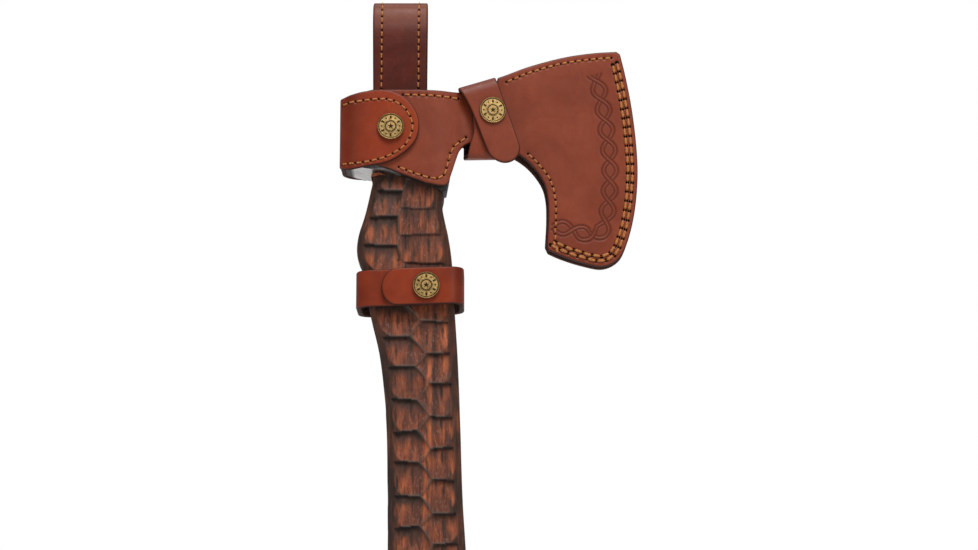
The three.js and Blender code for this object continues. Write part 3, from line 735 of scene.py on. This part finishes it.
FRONT_OUTLINE = np.vstack([[(-18, -61), (-16.6, -58.7), (-13, -57.8)], TOP, EDGE, BEARD, NOTCH,
                           LOWER, [(-18, -97)]])
BACK_NOTCH = smooth([(35.6, -83), (33.4, -85.6), (31.6, -90), (28.4, -100.6), (26.8, -104),
                     (24.6, -105.4), (21, -105.6)])
BACK_OUTLINE = np.vstack([[(-18, -60), (-18, -58.3), (-15, -58.2)], TOP, EDGE,
                          offset(BEARD, 0.8), BACK_NOTCH,
                          [(14, -104.8), (2, -102.4), (-9, -101), (-18, -99.8)]])

# each seam of the front: its line, pitch and, where it isn't fine, the radius of its thread
SEAMS = {
    "edge_outer": (offset(EDGE, -SEAM_OUTER)[6:], EDGE_PITCH, EDGE_THREAD),
    "edge_inner": (offset(EDGE, -SEAM_INNER)[7:-3], EDGE_PITCH, EDGE_THREAD),
    "toe": (smooth([(59.5, -51), (71.8, -45.5), (92, -39.6), (108, -37.2), (116.8, -36.5)]),
            TOE_PITCH),
    "beard": (smooth([(85.3, -138.6), (86.2, -122), (85.4, -113), (83, -105), (77, -96.6),
                      (71.2, -90.8)]), BEARD_PITCH),
    "eye_top": (smooth([(3.6, -60.9), (16.4, -61), (33.6, -61.4)]), EYE_PITCH),
    "eye_lower": (smooth([(1.6, -100.8), (12, -104.8), (22, -106.8), (25.4, -105.2),
                          (28.6, -95), (30.2, -89.4), (37.6, -82.6)]), EYE_PITCH),
}
HEEL_TACK = ([(84.6, -138.4), (87.2, -145.4)], 3.7, EDGE_THREAD)


# ---------- tooling: a twist of two strands pressed into the front ----------
BRAID = resample(smooth([(107.5, -46.5), (111.2, -60), (113.7, -77), (115.4, -94),
                         (115.1, -112), (113.2, -126), (110.6, -133.2), (105, -135.8),
                         (96, -132.6), (84, -131)]), 0.5)
BRAID_HALF = 3.5
BRAID_PITCH = 11.3
BRAID_START = 3.1
STRAND_HALF = 0.95
CUT_WIDTH = 0.46
CUT_DEPTH = 0.5
HOLLOW = 0.25


def braid_relief(x, z):
    """Depth of the pressed twist: two crossing strands with bevelled cuts beside them."""
    points = np.column_stack([x, z])
    depth = np.zeros(len(points))
    near = np.flatnonzero(braid_zone(x, z))
    if not len(near):
        return depth
    along = lengths(BRAID)
    sideways = tangents(BRAID)
    for chunk in np.array_split(near, max(len(near) // 2000, 1)):
        gap = points[chunk][:, None, :] - BRAID[None, :, :]
        pick = np.argmin(np.linalg.norm(gap, axis=2), axis=1)
        rows = np.arange(len(chunk))
        away = gap[rows, pick]
        normal = np.column_stack([-sideways[pick, 1], sideways[pick, 0]])
        t = np.sum(away * normal, axis=1)
        s = along[pick] + np.sum(away * sideways[pick], axis=1)
        ends = unit(np.minimum(s + 1, along[-1] + 1 - s))
        phase = math.pi * (s - BRAID_START) / BRAID_PITCH
        wave = BRAID_HALF * np.sin(phase) * np.where(np.cos(phase) > 0, 1, -1)
        spread = np.hypot(1, BRAID_HALF * math.pi / BRAID_PITCH * np.cos(phase))
        over = np.abs(t - wave) / spread
        under = np.abs(t + wave) / spread
        cut_over = hump(over - STRAND_HALF, CUT_WIDTH)
        cut_under = hump(under - STRAND_HALF, CUT_WIDTH) * (over > STRAND_HALF)
        hollow = HOLLOW * hump(t, 2.4) * (over > STRAND_HALF) * (under > STRAND_HALF)
        cut = np.maximum(np.maximum(cut_over, cut_under), hollow)
        depth[chunk] = CUT_DEPTH * cut * ends * (np.abs(t) < BRAID_HALF + 2.2)
    return depth


def braid_zone(x, z):
    points = np.column_stack([x, z])
    result = np.zeros(len(points), bool)
    maybe = np.flatnonzero((x > 78) & (z < -40))
    if len(maybe):
        result[maybe] = nearest(points[maybe], BRAID[::4]) < BRAID_HALF + 2.6
    return result


# ---------- sheath ----------
def make_panels():
    rows = {name: stitch_holes(*seam) for name, seam in SEAMS.items()}
    front = leather("sheath_front", FRONT_OUTLINE, panel_surface(-1), LEATHER_LOOK,
                    pits=np.vstack(list(rows.values())), relief=braid_relief, fine=braid_zone)
    settle(front, "leather", "sheath", "front_panel")
    back = leather("sheath_back", BACK_OUTLINE, panel_surface(1), LEATHER_LOOK,
                   pits=np.vstack([rows["edge_outer"], rows["edge_inner"]]), step=1.3,
                   raw=lambda x, z: x < -17.5)
    settle(back, "leather", "sheath", "back_panel")
    strip = np.vstack([offset(EDGE, -GAP), offset(EDGE, -WELT_WIDTH)[::-1]])
    welt = leather("sheath_welt", strip, flat_surface(-WELT_HALF, -1), WELT_LOOK,
                   thick=2 * WELT_HALF, step=1.6)
    settle(welt, "welt", "sheath", "edge_welt")
    for name, holes in rows.items():
        thread = sew(f"stitches_{name}_front", holes, panel_surface(-1))
        settle(thread, "thread", "sheath", f"seam_{name}_front")
        if name.startswith("edge"):
            thread = sew(f"stitches_{name}_back", holes, panel_surface(1))
            settle(thread, "thread", "sheath", f"seam_{name}_back")
    thread = sew("stitches_heel_tack", stitch_holes(*HEEL_TACK), panel_surface(-1))
    settle(thread, "thread", "sheath")


def make_poll_strap():
    """The poll strap runs from the back panel round the poll to the rounded tongue."""
    left = node_box("poll_bend")[0][0] + 0.8
    corner = 8
    middle = left + corner
    end = 14
    plan = np.vstack([[(-18, PANEL_OUTER)],
                      arc(middle, PANEL_OUTER - corner, corner, 90, 180),
                      arc(middle, corner - TONGUE_FACE, corner, 180, 270),
                      [(end, -TONGUE_FACE)]])
    surface, length = upright_strap(plan)
    zero = length - end

    def at(x, z):
        return (zero + x, z)
    outline = np.vstack([
        [(0, -59.9), (0, -99.8), (12, -99.0), (24, -98.8)],
        smooth([(36, -99.6), at(-30, -101.8), at(-25, -102.6), at(-15.6, -100.8),
                at(-4.4, -98.4), at(5.3, -92.6), at(10.9, -86), at(12.5, -78.5),
                at(10.9, -70.8), at(5.4, -63.6), at(-1.6, -59.6), at(-8, -58.6),
                at(-18, -59.7), at(-25, -61.6), at(-30, -62.6), (36, -61.4), (20, -59.9)]),
    ])
    seam = smooth([at(-30, -67), at(-20.6, -65.2), at(-13, -64.2), at(-4.4, -64), at(2, -66.6),
                   at(7.4, -73), at(9, -79.5), at(5.8, -88.2), at(-0.8, -93.6), at(-9, -97),
                   at(-20.6, -99.2), at(-30, -99.6)])
    holes = stitch_holes(seam, STRAP_PITCH)
    strap = leather("poll_strap", outline, surface, STRAP_LOOK, pits=holes, step=1.0,
                    raw=lambda s, z: s < RAW_END,
                    # painted shade where the strap turns round the poll
                    bend_shading=lambda s, z: turned(s, corner + 6, zero - 24))
    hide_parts("poll_bend", "poll_tongue")
    thread = sew("stitches_tongue", holes, surface)
    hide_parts("seam_tongue")
    for item, slot in ((strap, "leather"), (thread, "thread")):
        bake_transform(item)


# The neck strap wraps the blade's neck. Its girth tapers along X about NECK_X, its fold tops
# out at NECK_TOP (X and Z), and its flap leans towards +X on its way down.
NECK_X, NECK_TAPER = 44, 0.0075
NECK_TOP = (44.3, -52)
NECK_INNER = 10.9 + LEATHER
NECK_OUTER = NECK_INNER + GAP + LEATHER
NECK_LEAN = math.radians(18)


def neck_sweep(stations, turns):
    """A strap through stations (x, y, z) of its outer face, with its lean at each of them."""
    path = resample(smooth(stations, 10), 0.5)
    lean = np.interp(np.linspace(0, 1, len(path)), np.linspace(0, 1, len(turns)), turns)
    widthways = np.column_stack([np.cos(lean), np.zeros(len(path)), np.sin(lean)])
    outwards = np.cross(tangents(path), widthways)
    outwards /= np.linalg.norm(outwards, axis=1, keepdims=True)
    straight, length = swept_surface(path, widthways, outwards)

    def surface(s, t):
        points, normal = straight(s, t)
        points[:, 1] *= 1 - NECK_TAPER * (points[:, 0] - NECK_X)
        return points, normal
    return surface, length


def make_neck_flap(low):
    """Up the back, over the top and down the front to the snap; low is the fold underneath."""
    outer = NECK_OUTER
    x0, z0 = NECK_TOP

    def flap_point(w):
        return (x0 + w * math.sin(NECK_LEAN), -outer, z0 - w * math.cos(NECK_LEAN))
    over = [(45, outer, low + 12), (44.8, outer, -72), (x0, outer, z0 - 12),
            (x0 - 0.3, outer, z0 - 5), (x0, outer - 1.6, z0 - 1.4), (x0, outer - 5, z0),
            (x0, 0, z0 + 0.3), (x0, -outer + 5, z0), (x0 + 0.2, -outer + 1.6, z0 - 1.4),
            flap_point(5), flap_point(16), flap_point(30), flap_point(48)]
    surface, tip = neck_sweep(over, [0, 0, NECK_LEAN * 0.7, *[NECK_LEAN] * 4])
    outline = np.vstack([
        [(0, -9), (0, 9), (14, 9.4), (tip - 60, 9.6)],
        smooth([(tip - 40, 9.6), (tip - 14, 10.2), (tip - 5.6, 9.8), (tip - 1.4, 6.4),
                (tip - 0.2, 1.6), (tip - 1.6, -2.6), (tip - 6.2, -6.6), (tip - 12, -7.6),
                (tip - 26, -8.3), (tip - 36, -9.2), (tip - 43, -10.6), (tip - 48, -11.8)]),
        [(tip - 56, -11.6), (tip - 74, -9.6), (14, -9.2)],
    ])
    flap = leather("neck_strap_flap", outline, surface, LEATHER_LOOK, step=1.0,
                   raw=lambda s, t: s < RAW_END,
                   # painted shade where the strap folds over the top of the neck
                   bend_shading=lambda s, t: turned(s, tip - 48, tip - 76, width=3.5) * 0.8)
    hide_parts("neck_tongue", "neck_fold_top")
    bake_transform(flap)


def make_neck_band(low):
    """Down the inner front, under the blade and up the back, where it meets the flap."""
    inner, outer = NECK_INNER, NECK_OUTER
    under = [(51.5, -inner, -61.5), (49.2, -inner, -74), (46, -inner, low + 7),
             (45.4, -inner + 0.9, low + 2), (45, -inner + 3, low + 0.4),
             (45, 0, low + 2.4), (45, outer - 5, low + 4.8), (45, outer - 1.4, low + 6.6),
             (45, outer, low + 12)]
    surface, length = neck_sweep(under, [0, 0, 0, 0])
    outline = np.vstack([
        [(0, -9.6), (0, 6), (3, 7.6), (length * 0.3, 8.6), (length * 0.6, 9), (length, 9),
         (length, -9), (length * 0.8, -9)],
        smooth([(length * 0.6, -7.6), (33, -7), (26, -6.4), (19, -6.2), (12, -8.2),
                (3, -10.6)]),
    ])
    band = leather("neck_strap_band", outline, surface, LEATHER_LOOK, step=1.1,
                   raw=lambda s, t: s > length - RAW_END)
    settle(band, "leather", "sheath", "neck_band", "neck_fold_under", "neck_band_end")


# The handle strap: radius of its corners, and how it climbs towards +X.
STRAP_CORNER = 8.5
STRAP_SLOPE, STRAP_LEVEL_X = 0.03, 12
STRAP_MIDDLE = (BAND_LOW[2] + BAND_HIGH[2]) / 2 - 0.3
STRAP_HALF = (BAND_HIGH[2] - BAND_LOW[2]) / 2 + 0.3
STRAP_BACK = BAND_HIGH[1]
STRAP_SPLIT = node_box("handle_bend_right")[0][0]


def climbing_strap(plan):
    surface, length = upright_strap(plan)

    def climbing(s, t):
        points, normal = surface(s, t)
        points[:, 2] += STRAP_SLOPE * (points[:, 0] - STRAP_LEVEL_X)
        return points, normal
    return climbing, length


def make_handle_band():
    """From the middle of the back round the left side to the inner front."""
    corner = STRAP_CORNER
    x = BAND_LEFT + corner
    surface, length = climbing_strap(np.vstack([
        [(STRAP_SPLIT, STRAP_BACK)], arc(x, STRAP_BACK - corner, corner, 90, 180),
        arc(x, corner - BAND_END_FACE, corner, 180, 270), [(24, -BAND_END_FACE)]]))
    low, high = STRAP_MIDDLE - STRAP_HALF, STRAP_MIDDLE + STRAP_HALF
    outline = np.array([(0, low), (length, low), (length, high), (0, high)])
    turn = STRAP_SPLIT - x
    band = leather("handle_strap_band", outline, surface, STRAP_LOOK, step=1.1,
                   raw=lambda s, z: s < RAW_END,
                   # painted shade where the strap turns round the handle
                   bend_shading=lambda s, z: turned(s, turn + 6, turn + 32))
    settle(band, "leather", "sheath", "handle_band", "handle_bend_left", "handle_band_end")


def make_handle_flap():
    """From its rounded nose over the snap round the right side to the middle of the back."""
    corner = STRAP_CORNER
    x = BAND_RIGHT - corner
    tip_x = node_box("handle_tongue")[0][0]
    surface, length = climbing_strap(np.vstack([
        [(tip_x, -HANDLE_FACE)], arc(x, corner - HANDLE_FACE, corner, -90, 0),
        arc(x, STRAP_BACK - corner, corner, 0, 90), [(STRAP_SPLIT, STRAP_BACK)]]))
    nose_length = 8.6
    turns = np.linspace(0, math.pi, 24)
    nose = np.column_stack([nose_length * (1 - np.sin(turns)),
                            STRAP_MIDDLE + STRAP_HALF * np.cos(turns)])
    outline = np.vstack([nose, [(length, STRAP_MIDDLE - STRAP_HALF),
                                (length, STRAP_MIDDLE + STRAP_HALF)]])
    flap = leather("handle_strap_flap", outline, surface, STRAP_LOOK, step=1.0,
                   raw=lambda s, z: s > length - RAW_END,
                   # painted shade where the strap turns round the handle
                   bend_shading=lambda s, z: turned(s, x - tip_x + 7, length - 12))
    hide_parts("handle_tongue", "handle_bend_right")
    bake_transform(flap)


def make_hanger():
    outline = [(-14, -68), (-11, -65), (12, -65), (15, -68), (15, -112), (22, -150),
               (22, -174), (18, -178), (-3, -178), (-7, -174), (-7, -150), (-14, -112)]
    hanger = leather("hanger", resample(outline, 1.5, True), flat_surface(HANGER_REAR, 1),
                     LEATHER_LOOK, step=1.5)
    settle(hanger, "leather", "sheath", "hanger_strap")


def make_belt_loop():
    """One strap: up the front, over the belt, and down the back to where it is riveted."""
    thick = 3.0
    front, rear = LOOP_LOW[1], LOOP_HIGH[1]
    end, top = LOOP_LOW[2], LOOP_HIGH[2]
    meet = front + 2 * thick + GAP
    side = np.vstack([
        [(front, end), (front, -40)],
        smooth([(front, -30), (front, -19), (front + 0.7, -9), (front + 3.4, top - 3.4),
                ((front + rear) / 2, top), (rear - 3, top - 3.2), (rear, -6), (rear, -18)]),
        smooth([(rear, -40), (rear - 1.4, -52), (meet + 2.2, -64), (meet, -74), (meet, -82)]),
        [(meet, end)]])
    side = resample(side, 0.5)
    along = tangents(side)
    outwards = np.column_stack([np.zeros(len(side)), -along[:, 1], along[:, 0]])
    path = np.column_stack([np.full(len(side), 0.3), side])
    widthways = np.tile([1.0, 0.0, 0.0], (len(side), 1))
    surface, length = swept_surface(path, widthways, outwards)
    half = LOOP_HIGH[0] + 0.35
    edge = np.array([(0, half - 1), (length * 0.2, half - 0.6), (length * 0.42, half),
                     (length * 0.7, half - 0.4), (length, half - 0.6)])
    outline = np.vstack([edge * (1, -1), edge[::-1]])
    rows = [stitch_holes([(3, x), (length - 4, x)], STRAP_PITCH, LOOP_THREAD)
            for x in (-10.2, 10.4)]
    # where the painted sheen lies, just below the top of the loop
    painted_sheen = lengths(side)[np.argmax(side[:, 1])] - 11
    loop = leather("belt_loop_strap", outline, surface, LOOP_LOOK, thick=thick, step=1.0,
                   pits=np.vstack(rows), bend_shading=lambda s, t: turned(s, painted_sheen, width=9))
    settle(loop, "loop_leather", "sheath", "belt_loop")
    for name, row in zip(("left", "right"), rows):
        thread = sew(f"stitches_loop_{name}", row, surface)
        settle(thread, "thread", "sheath", f"seam_loop_{name}")


# ---------- snaps ----------
# radius and height of the cap's rings, and how dark its sunk parts are
CAP_PROFILE = [(0, 1.45), (2.45, 1.4), (2.6, 1.15), (2.85, 1.15), (3.0, 1.45), (3.2, 1.45),
               (3.3, 1.25), (3.5, 1.24), (6.1, 1.15), (6.25, 0.95), (6.45, 0.95), (6.6, 1.4),
               (6.85, 1.45), (7.1, 1.2), (7.2, 0.8), (7.1, 0.3), (6.6, 0.1), (0, 0.1)]
CAP_DARK = [0, 0.05, 1, 1, 0.25, 0.25, 0.9, 0.05, 0.1, 1, 1, 0.4, 0.35, 0.5, 0.7, 0.9, 1, 1]
CAP_TOP = CAP_PROFILE[:9]
CAP_TURNS = 72
MARK_LIFT, MARK_SINK = 0.02, 0.3
STAR_OUTER, STAR_INNER = 1.75, 0.75
BAR_START, BAR_STOP, BAR_HALF = 4.0, 5.7, 0.5
DOT_RING, DOT_RADIUS = 4.85, 0.45


def star_outline():
    turns = math.pi * np.arange(10) / 5
    reach = np.where(np.arange(10) % 2 == 0, STAR_OUTER, STAR_INNER)
    return np.column_stack([reach * np.sin(turns), reach * np.cos(turns)])


def band_marks():
    """Plain bars and dots set round the band of a cap."""
    marks = []
    for k in range(12):
        turn = math.pi * k / 6
        out = np.array([math.sin(turn), math.cos(turn)])
        across = np.array([out[1], -out[0]])
        if k % 2:
            marks.append([out * DOT_RING + DOT_RADIUS * (math.cos(a) * out + math.sin(a) * across)
                          for a in math.pi * np.arange(8) / 4])
        else:
            corners = ((BAR_START, -BAR_HALF), (BAR_STOP, -BAR_HALF), (BAR_STOP, BAR_HALF),
                       (BAR_START, BAR_HALF))
            marks.append([out * r + across * w for r, w in corners])
    return marks


def make_cap(name, body, tilt=0.0):
    """A dome cap: a rolled rim, a band of plain marks, and a star inside a ring."""
    vertices, faces, recess = [], [], []
    for (radius, height), dark in zip(CAP_PROFILE, CAP_DARK):
        for k in range(CAP_TURNS):
            turn = 2 * math.pi * k / CAP_TURNS
            vertices.append((radius * math.cos(turn), -height, radius * math.sin(turn)))
            recess.append(dark)
    for row in range(0, len(vertices) - CAP_TURNS, CAP_TURNS):
        for k in range(CAP_TURNS):
            a, b = row + k, row + (k + 1) % CAP_TURNS
            faces.append((a, a + CAP_TURNS, b + CAP_TURNS, b))
    radii, heights = zip(*CAP_TOP)
    for mark in [star_outline(), *band_marks()]:
        loop = counter_clockwise(np.array(mark))[::-1]
        base, count = len(vertices), len(loop)
        for sink in (MARK_SINK, -MARK_LIFT):
            for x, z in loop:
                top = np.interp(math.hypot(x, z), radii, heights)
                vertices.append((x, sink - top, z))
                recess.append(1)
        faces.append(tuple(base + count + k for k in range(count)))
        for k in range(count):
            a, b = base + k, base + (k + 1) % count
            faces.append((a, b, b + count, a + count))
    x, y, z = np.array(vertices).T
    c, s = math.cos(tilt), math.sin(tilt)
    points = np.column_stack([x * c - y * s, x * s + y * c, z])
    low, high = node_box(name)
    middle = (low + high) / 2
    points += [middle[0], low[1] - points[:, 1].min(), middle[2]]
    cap = new_object(f"{name}_face", points, faces, BRASS_LOOK, {"recess": recess}, 28)
    settle(cap, "brass", body, name)


def paint_nodes():
    """Looks for the CAD nodes that stay as they are."""
    looks = {"brass": BRASS_LOOK, "steel": STEEL_LOOK, "handle_wood": WOOD_LOOK,
             "wedge_wood": WEDGE_LOOK}
    for part in frame["record"]["subparts"]:
        look = looks.get(part["material_slot"])
        item = frame["nodes"].get(part["node"])
        if look and item:
            item.data.materials.clear()
            item.data.materials.append(look)


# ---------- handle ----------
GRIP_TOP = -101
GRIP_LEFT = smooth([(-11.8, GRIP_TOP), (-14.9, -117), (-20.8, -140), (-20.4, -149),
                    (-17.6, -155.6), (-13.8, -178), (-8.2, -202), (-4.6, -236), (-3.6, -275),
                    (-3.2, -320), (-3.6, -370), (-6, -420), (-11, -458), (-12.6, -474),
                    (-12, -486)])
GRIP_RIGHT = smooth([(26.4, GRIP_TOP), (25.4, -114.6), (24.7, -119), (27.6, -134),
                     (29.8, -148), (31.7, -178), (33.2, -202), (34.6, -236), (35.9, -275),
                     (38.6, -320), (39.6, -370), (40, -420), (41.6, -458), (43, -474),
                     (42.4, -486)])
GRIP_HALF = 14
GRIP_AROUND = 168
CHAMFER = 5
GOUGE = 2.4
GROOVE = 0.32
TENON_FOOT = -104
# the carving changes its rhythm under the handle strap
RULE_CHANGE = -170
CARVING = {
    # pitch of the ledges, first left ledge, step from left to right column, zigzag, divider,
    # depth of the right column, and how far the scorching and painted shade reach below a ledge
    "upper": (15.1, -126.8, 0.66, 0.03, -0.1, 0.45, 7.4),
    "lower": (16.95, -191.2, 0.54, 0.2, 0.03, 1, 6.4),
}


def cell_of(x, z, left, right, rule):
    """Where a point lies in its gouge cut: depth share, distance below the ledge above it,
    distance above the ledge under it, distance to the column divider and to the handle's
    side, and whether it is in the right column."""
    pitch, first, stagger, swing, divide = rule
    half = (right - left) / 2
    share = (x - left) / half - 1
    phase = (first - z) / pitch + 0.035 * np.sin(0.23 * z + 2.4 * share)
    turn = phase - np.floor(phase)
    lean = np.where(turn < stagger, turn / stagger, (1 - turn) / (1 - stagger))
    zigzag = divide + swing * (2 * lean ** 0.8 - 1) + 0.03 * np.sin(0.11 * z)
    on_right = share > zigzag
    phase = phase - np.where(on_right, stagger, 0)
    below = phase - np.floor(phase)
    middle = np.abs(share - zigzag) * half
    outer = (1 - np.abs(share)) * half
    # the outer lower corners of each cut are rounded off
    outer = outer - 4.2 * unit((below - 0.5) / 0.5) ** 2.4
    rim = 1 - (1 - unit(middle / 3)) ** 2
    rim = rim * (1 - (1 - unit(outer / 2.6)) ** 2)
    depth = (1 - below) ** 1.1 * (0.25 + 0.75 * rim) + 0.1 * np.sin(math.pi * below) * rim
    # no two cuts are quite as deep
    row = np.floor(phase) + 0.5 * on_right
    depth = depth * (0.9 + 0.16 * np.sin(4.7 * row))
    return depth, below * pitch, (1 - below) * pitch, middle, outer, on_right


def grip_section(half, deep):
    """An octagon with softened corners, half as wide and half as deep as told."""
    corners = np.array([(half, CHAMFER - deep), (half, deep - CHAMFER), (half - CHAMFER, deep),
                        (CHAMFER - half, deep), (-half, deep - CHAMFER),
                        (-half, CHAMFER - deep), (CHAMFER - half, -deep),
                        (half - CHAMFER, -deep)])
    girth = lengths(np.vstack([corners, corners[:1]]))[-1]
    ring = resample(corners, girth / GRIP_AROUND, closed=True)
    for _ in range(3):
        ring = (np.roll(ring, 1, axis=0) + 2 * ring + np.roll(ring, -1, axis=0)) / 4
    return ring


def carved_ring(z, left, right, low):
    """One ring of the grip pushed in by the carving, with its scorching and painted shade, the
    painted highlight on its ridges and the painted shadow under its ledges.
    """
    small = 1 - 0.22 * (1 - unit((z - low) / 7)) ** 2
    centre, half = (left + right) / 2, (right - left) / 2 * small
    deep = GRIP_HALF * (0.5 + 0.5 * small)
    ring = grip_section(half, deep)
    x, y = centre + ring[:, 0], ring[:, 1]
    reach = half - CHAMFER * 0.62
    *rule, right_depth, scorch_and_shade_reach = CARVING["upper" if z > RULE_CHANGE else "lower"]
    depth, below, above, middle, outer, on_right = cell_of(
        x, z, centre - reach, centre + reach, rule)
    face = unit((np.abs(y) - (deep - 2.6)) / 2.2) * unit(outer / 0.8)
    ends = unit((z - low - 6) / 8)
    strength = np.where(on_right, right_depth, 1)
    lines = np.sin(x * 1.55 + 0.9 * np.sin(z * 0.05) + 0.25 * np.sin(z * 0.31))
    lines *= 0.65 + 0.35 * np.sin(z * 0.37 + x * 0.6)
    groove = GROOVE * unit((lines - 0.5) / 0.4) * face
    y = y - np.sign(y) * (GOUGE * depth * face * ends * strength + groove)
    chips = np.sin(z * 0.19 + y * 0.35) * np.sin(z * 0.07 - y * 0.2)
    x = x - np.sign(ring[:, 0]) * (1 - face) * 0.35 * unit(chips)

    # scorching and painted shade under each ledge, weaker in the right column
    scorch_and_shade = np.where(on_right, 0.6, 1.0) * np.exp(-(below / scorch_and_shade_reach) ** 2.5)
    # painted shadow at the top of the grip, under the head and the sheath
    scorch_and_shade = scorch_and_shade + 0.6 * unit((z + 113) / 5)
    # scorching and painted shade at the dividers, along the outer margins, in the grooves and
    # over the sides
    char_and_shade = face * (scorch_and_shade + 0.3 * hump(middle, 0.8) + 0.6 * hump(np.clip(outer, 0, 9), 1.3)
                   + 0.75 * unit((lines - 0.45) / 0.35)) + 0.9 * (1 - face)
    # painted highlight along the ledges and the dividers
    ridge = face * strength * unit(hump(above, 0.6) + 0.7 * hump(middle, 0.45))
    # painted shadow just under each ledge
    cleft = face * strength * hump(below, 1.25) * unit(middle / 2)
    return np.column_stack([x, y, np.full(len(x), z)]), (unit(char_and_shade), ridge, cleft)


def make_grip():
    low = node_box("handle")[0][2]
    rows = np.concatenate([np.arange(GRIP_TOP, -480, -0.5), np.linspace(-480.3, low, 8)])
    left = np.interp(-rows, -GRIP_LEFT[:, 1], GRIP_LEFT[:, 0])
    right = np.interp(-rows, -GRIP_RIGHT[:, 1], GRIP_RIGHT[:, 0])
    rings, marks = zip(*[carved_ring(z, a, b, low) for z, a, b in zip(rows, left, right)])
    flags = dict(zip(("char_and_shade", "ridge", "cleft"), np.concatenate(marks, axis=1)))
    faces = tube_faces(0, len(rows) - 1, GRIP_AROUND)
    return new_object("carved_handle", np.vstack(rings), faces, WOOD_LOOK, flags)


def make_tenon():
    """The end of the handle that fills the head's eye, slit for its wedges."""
    work = copy_node("handle")
    cut = bmesh.ops.bisect_plane(work, geom=[*work.verts, *work.edges, *work.faces],
                                 plane_co=mm(0, 0, TENON_FOOT), plane_no=(0, 0, 1),
                                 clear_inner=True)
    rim = [item for item in cut["geom_cut"] if isinstance(item, bmesh.types.BMEdge)]
    bmesh.ops.contextual_create(work, geom=rim)
    bmesh.ops.triangulate(work, faces=work.faces)
    tenon = finish_copy("handle_tenon", work, WEDGE_LOOK, WOOD_LOOK)
    for face in tenon.data.polygons:
        face.material_index = 0 if face.normal.z > 0.7 else 1
    return tenon


def make_handle():
    for item in (make_grip(), make_tenon()):
        settle(item, "handle_wood", "axe", "handle")


# ---------- head ----------
def eye_lift(x, y, z):
    """How far the head's lower edge is drawn up: at the poll, at the back and in the notch."""
    low = unit((-z - 97) / 9)
    lift = 2.6 * low * unit((25 - x) / 4) * unit((x + 14) / 8)
    if y > 4:
        lift = max(lift, 5 * low * unit((x - 16) / 6))
    return lift + 5 * unit((-z - 80) / 7) * unit((x - 28) / 4) * unit((42 - x) / 4)


def make_head():
    """The forged head: its lower eye edge trimmed to the sheath, faces lightly hammered."""
    work = copy_node("axe_head")
    for _ in range(3):
        long = [edge for edge in work.edges if edge.calc_length() > 0.005]
        bmesh.ops.subdivide_edges(work, edges=long, cuts=1)
        bmesh.ops.triangulate(work, faces=work.faces)
    work.normal_update()
    for vertex in work.verts:
        x, y, z = np.array(vertex.co) * 1000 - SHIFT
        knock = 0.12 * math.sin(0.5 * x + 0.9 * z) * math.sin(0.7 * z - 0.3 * x)
        vertex.co.z += eye_lift(x, y, z) / 1000
        if abs(vertex.normal.y) > 0.6 and x < 96:
            vertex.co.y -= math.copysign(0.1 + knock, vertex.normal.y) / 1000
    settle(finish_copy("forged_head", work, STEEL_LOOK), "steel", "axe", "axe_head")


# ---------- camera, light and floor ----------
CAMERA_REACH = 1.309
CAMERA_RISE = math.radians(10.5)
# the part hangs at a belt's height, so the ground is about a metre below it
FLOOR_Z = -1.0
FLOOR_HALF = 30


def make_camera():
    """In front of the part and a little below it, looking up."""
    camera = bpy.data.cameras.new("camera")
    camera.lens = 90
    camera.sensor_width = 36
    eye = add_object("camera", camera)
    forward = Vector((0, math.cos(CAMERA_RISE), math.sin(CAMERA_RISE)))
    eye.location = Vector(mm(50, -10, -158)) - forward * CAMERA_REACH
    eye.rotation_euler = (math.radians(90) + CAMERA_RISE, 0, 0)
    bpy.context.scene.camera = eye


def make_floor():
    """A plain pale floor, lit a little from within so that it stays even."""
    mesh = bpy.data.meshes.new("floor")
    corners = [(x * FLOOR_HALF, y * FLOOR_HALF, FLOOR_Z)
               for x, y in ((-1, -1), (1, -1), (1, 1), (-1, 1))]
    mesh.from_pydata(corners, [], [(0, 1, 2, 3)])
    n = Nodes("floor")
    mesh.materials.append(n.set(Base_Color=(0.86, 0.86, 0.86, 1), Roughness=0.8,
                                Emission_Color=(1, 1, 1, 1), Emission_Strength=0.4))
    add_object("floor", mesh)


def make_world():
    """A white room, which lights the part less than it shows to the camera."""
    world = bpy.data.worlds.new("studio")
    world.use_nodes = True
    tree = world.node_tree
    seen = tree.nodes.new("ShaderNodeLightPath")
    mix = tree.nodes.new("ShaderNodeMapRange")
    mix.inputs["To Min"].default_value = 0.3
    mix.inputs["To Max"].default_value = 1.0
    tree.links.new(seen.outputs["Is Camera Ray"], mix.inputs["Value"])
    tree.links.new(mix.outputs["Result"], tree.nodes["Background"].inputs["Strength"])
    tree.nodes["Background"].inputs["Color"].default_value = (1, 1, 1, 1)
    bpy.context.scene.world = world
    bpy.context.scene.view_settings.view_transform = "Standard"


def soft_box(name, away, size, power):
    light = bpy.data.lights.new(name, "AREA")
    light.shape = "RECTANGLE"
    light.size, light.size_y = size
    light.energy = power
    lamp = add_object(name, light)
    lamp.location = Vector(mm(40, 0, -150)) + Vector(away)
    lamp.rotation_euler = (-Vector(away)).to_track_quat("-Z", "Y").to_euler()


make_camera()
make_floor()
make_world()
soft_box("key", (0.1, -0.85, 1.15), (0.8, 0.5), 17.5)
soft_box("fill", (0.8, -1.1, 0.5), (0.5, 0.6), 3)
soft_box("top", (0.0, 0.15, 1.1), (0.8, 0.5), 3)

make_panels()
make_poll_strap()
NECK_LOW = node_box("neck_fold_under")[0][2]
make_neck_flap(NECK_LOW)
make_neck_band(NECK_LOW)
make_handle_band()
make_handle_flap()
make_hanger()
make_belt_loop()
make_cap("poll_snap_cap", "poll_flap")
make_cap("neck_snap_cap", "neck_flap", math.radians(7))
make_cap("handle_snap_cap", "handle_flap")
paint_nodes()
make_head()
make_handle()
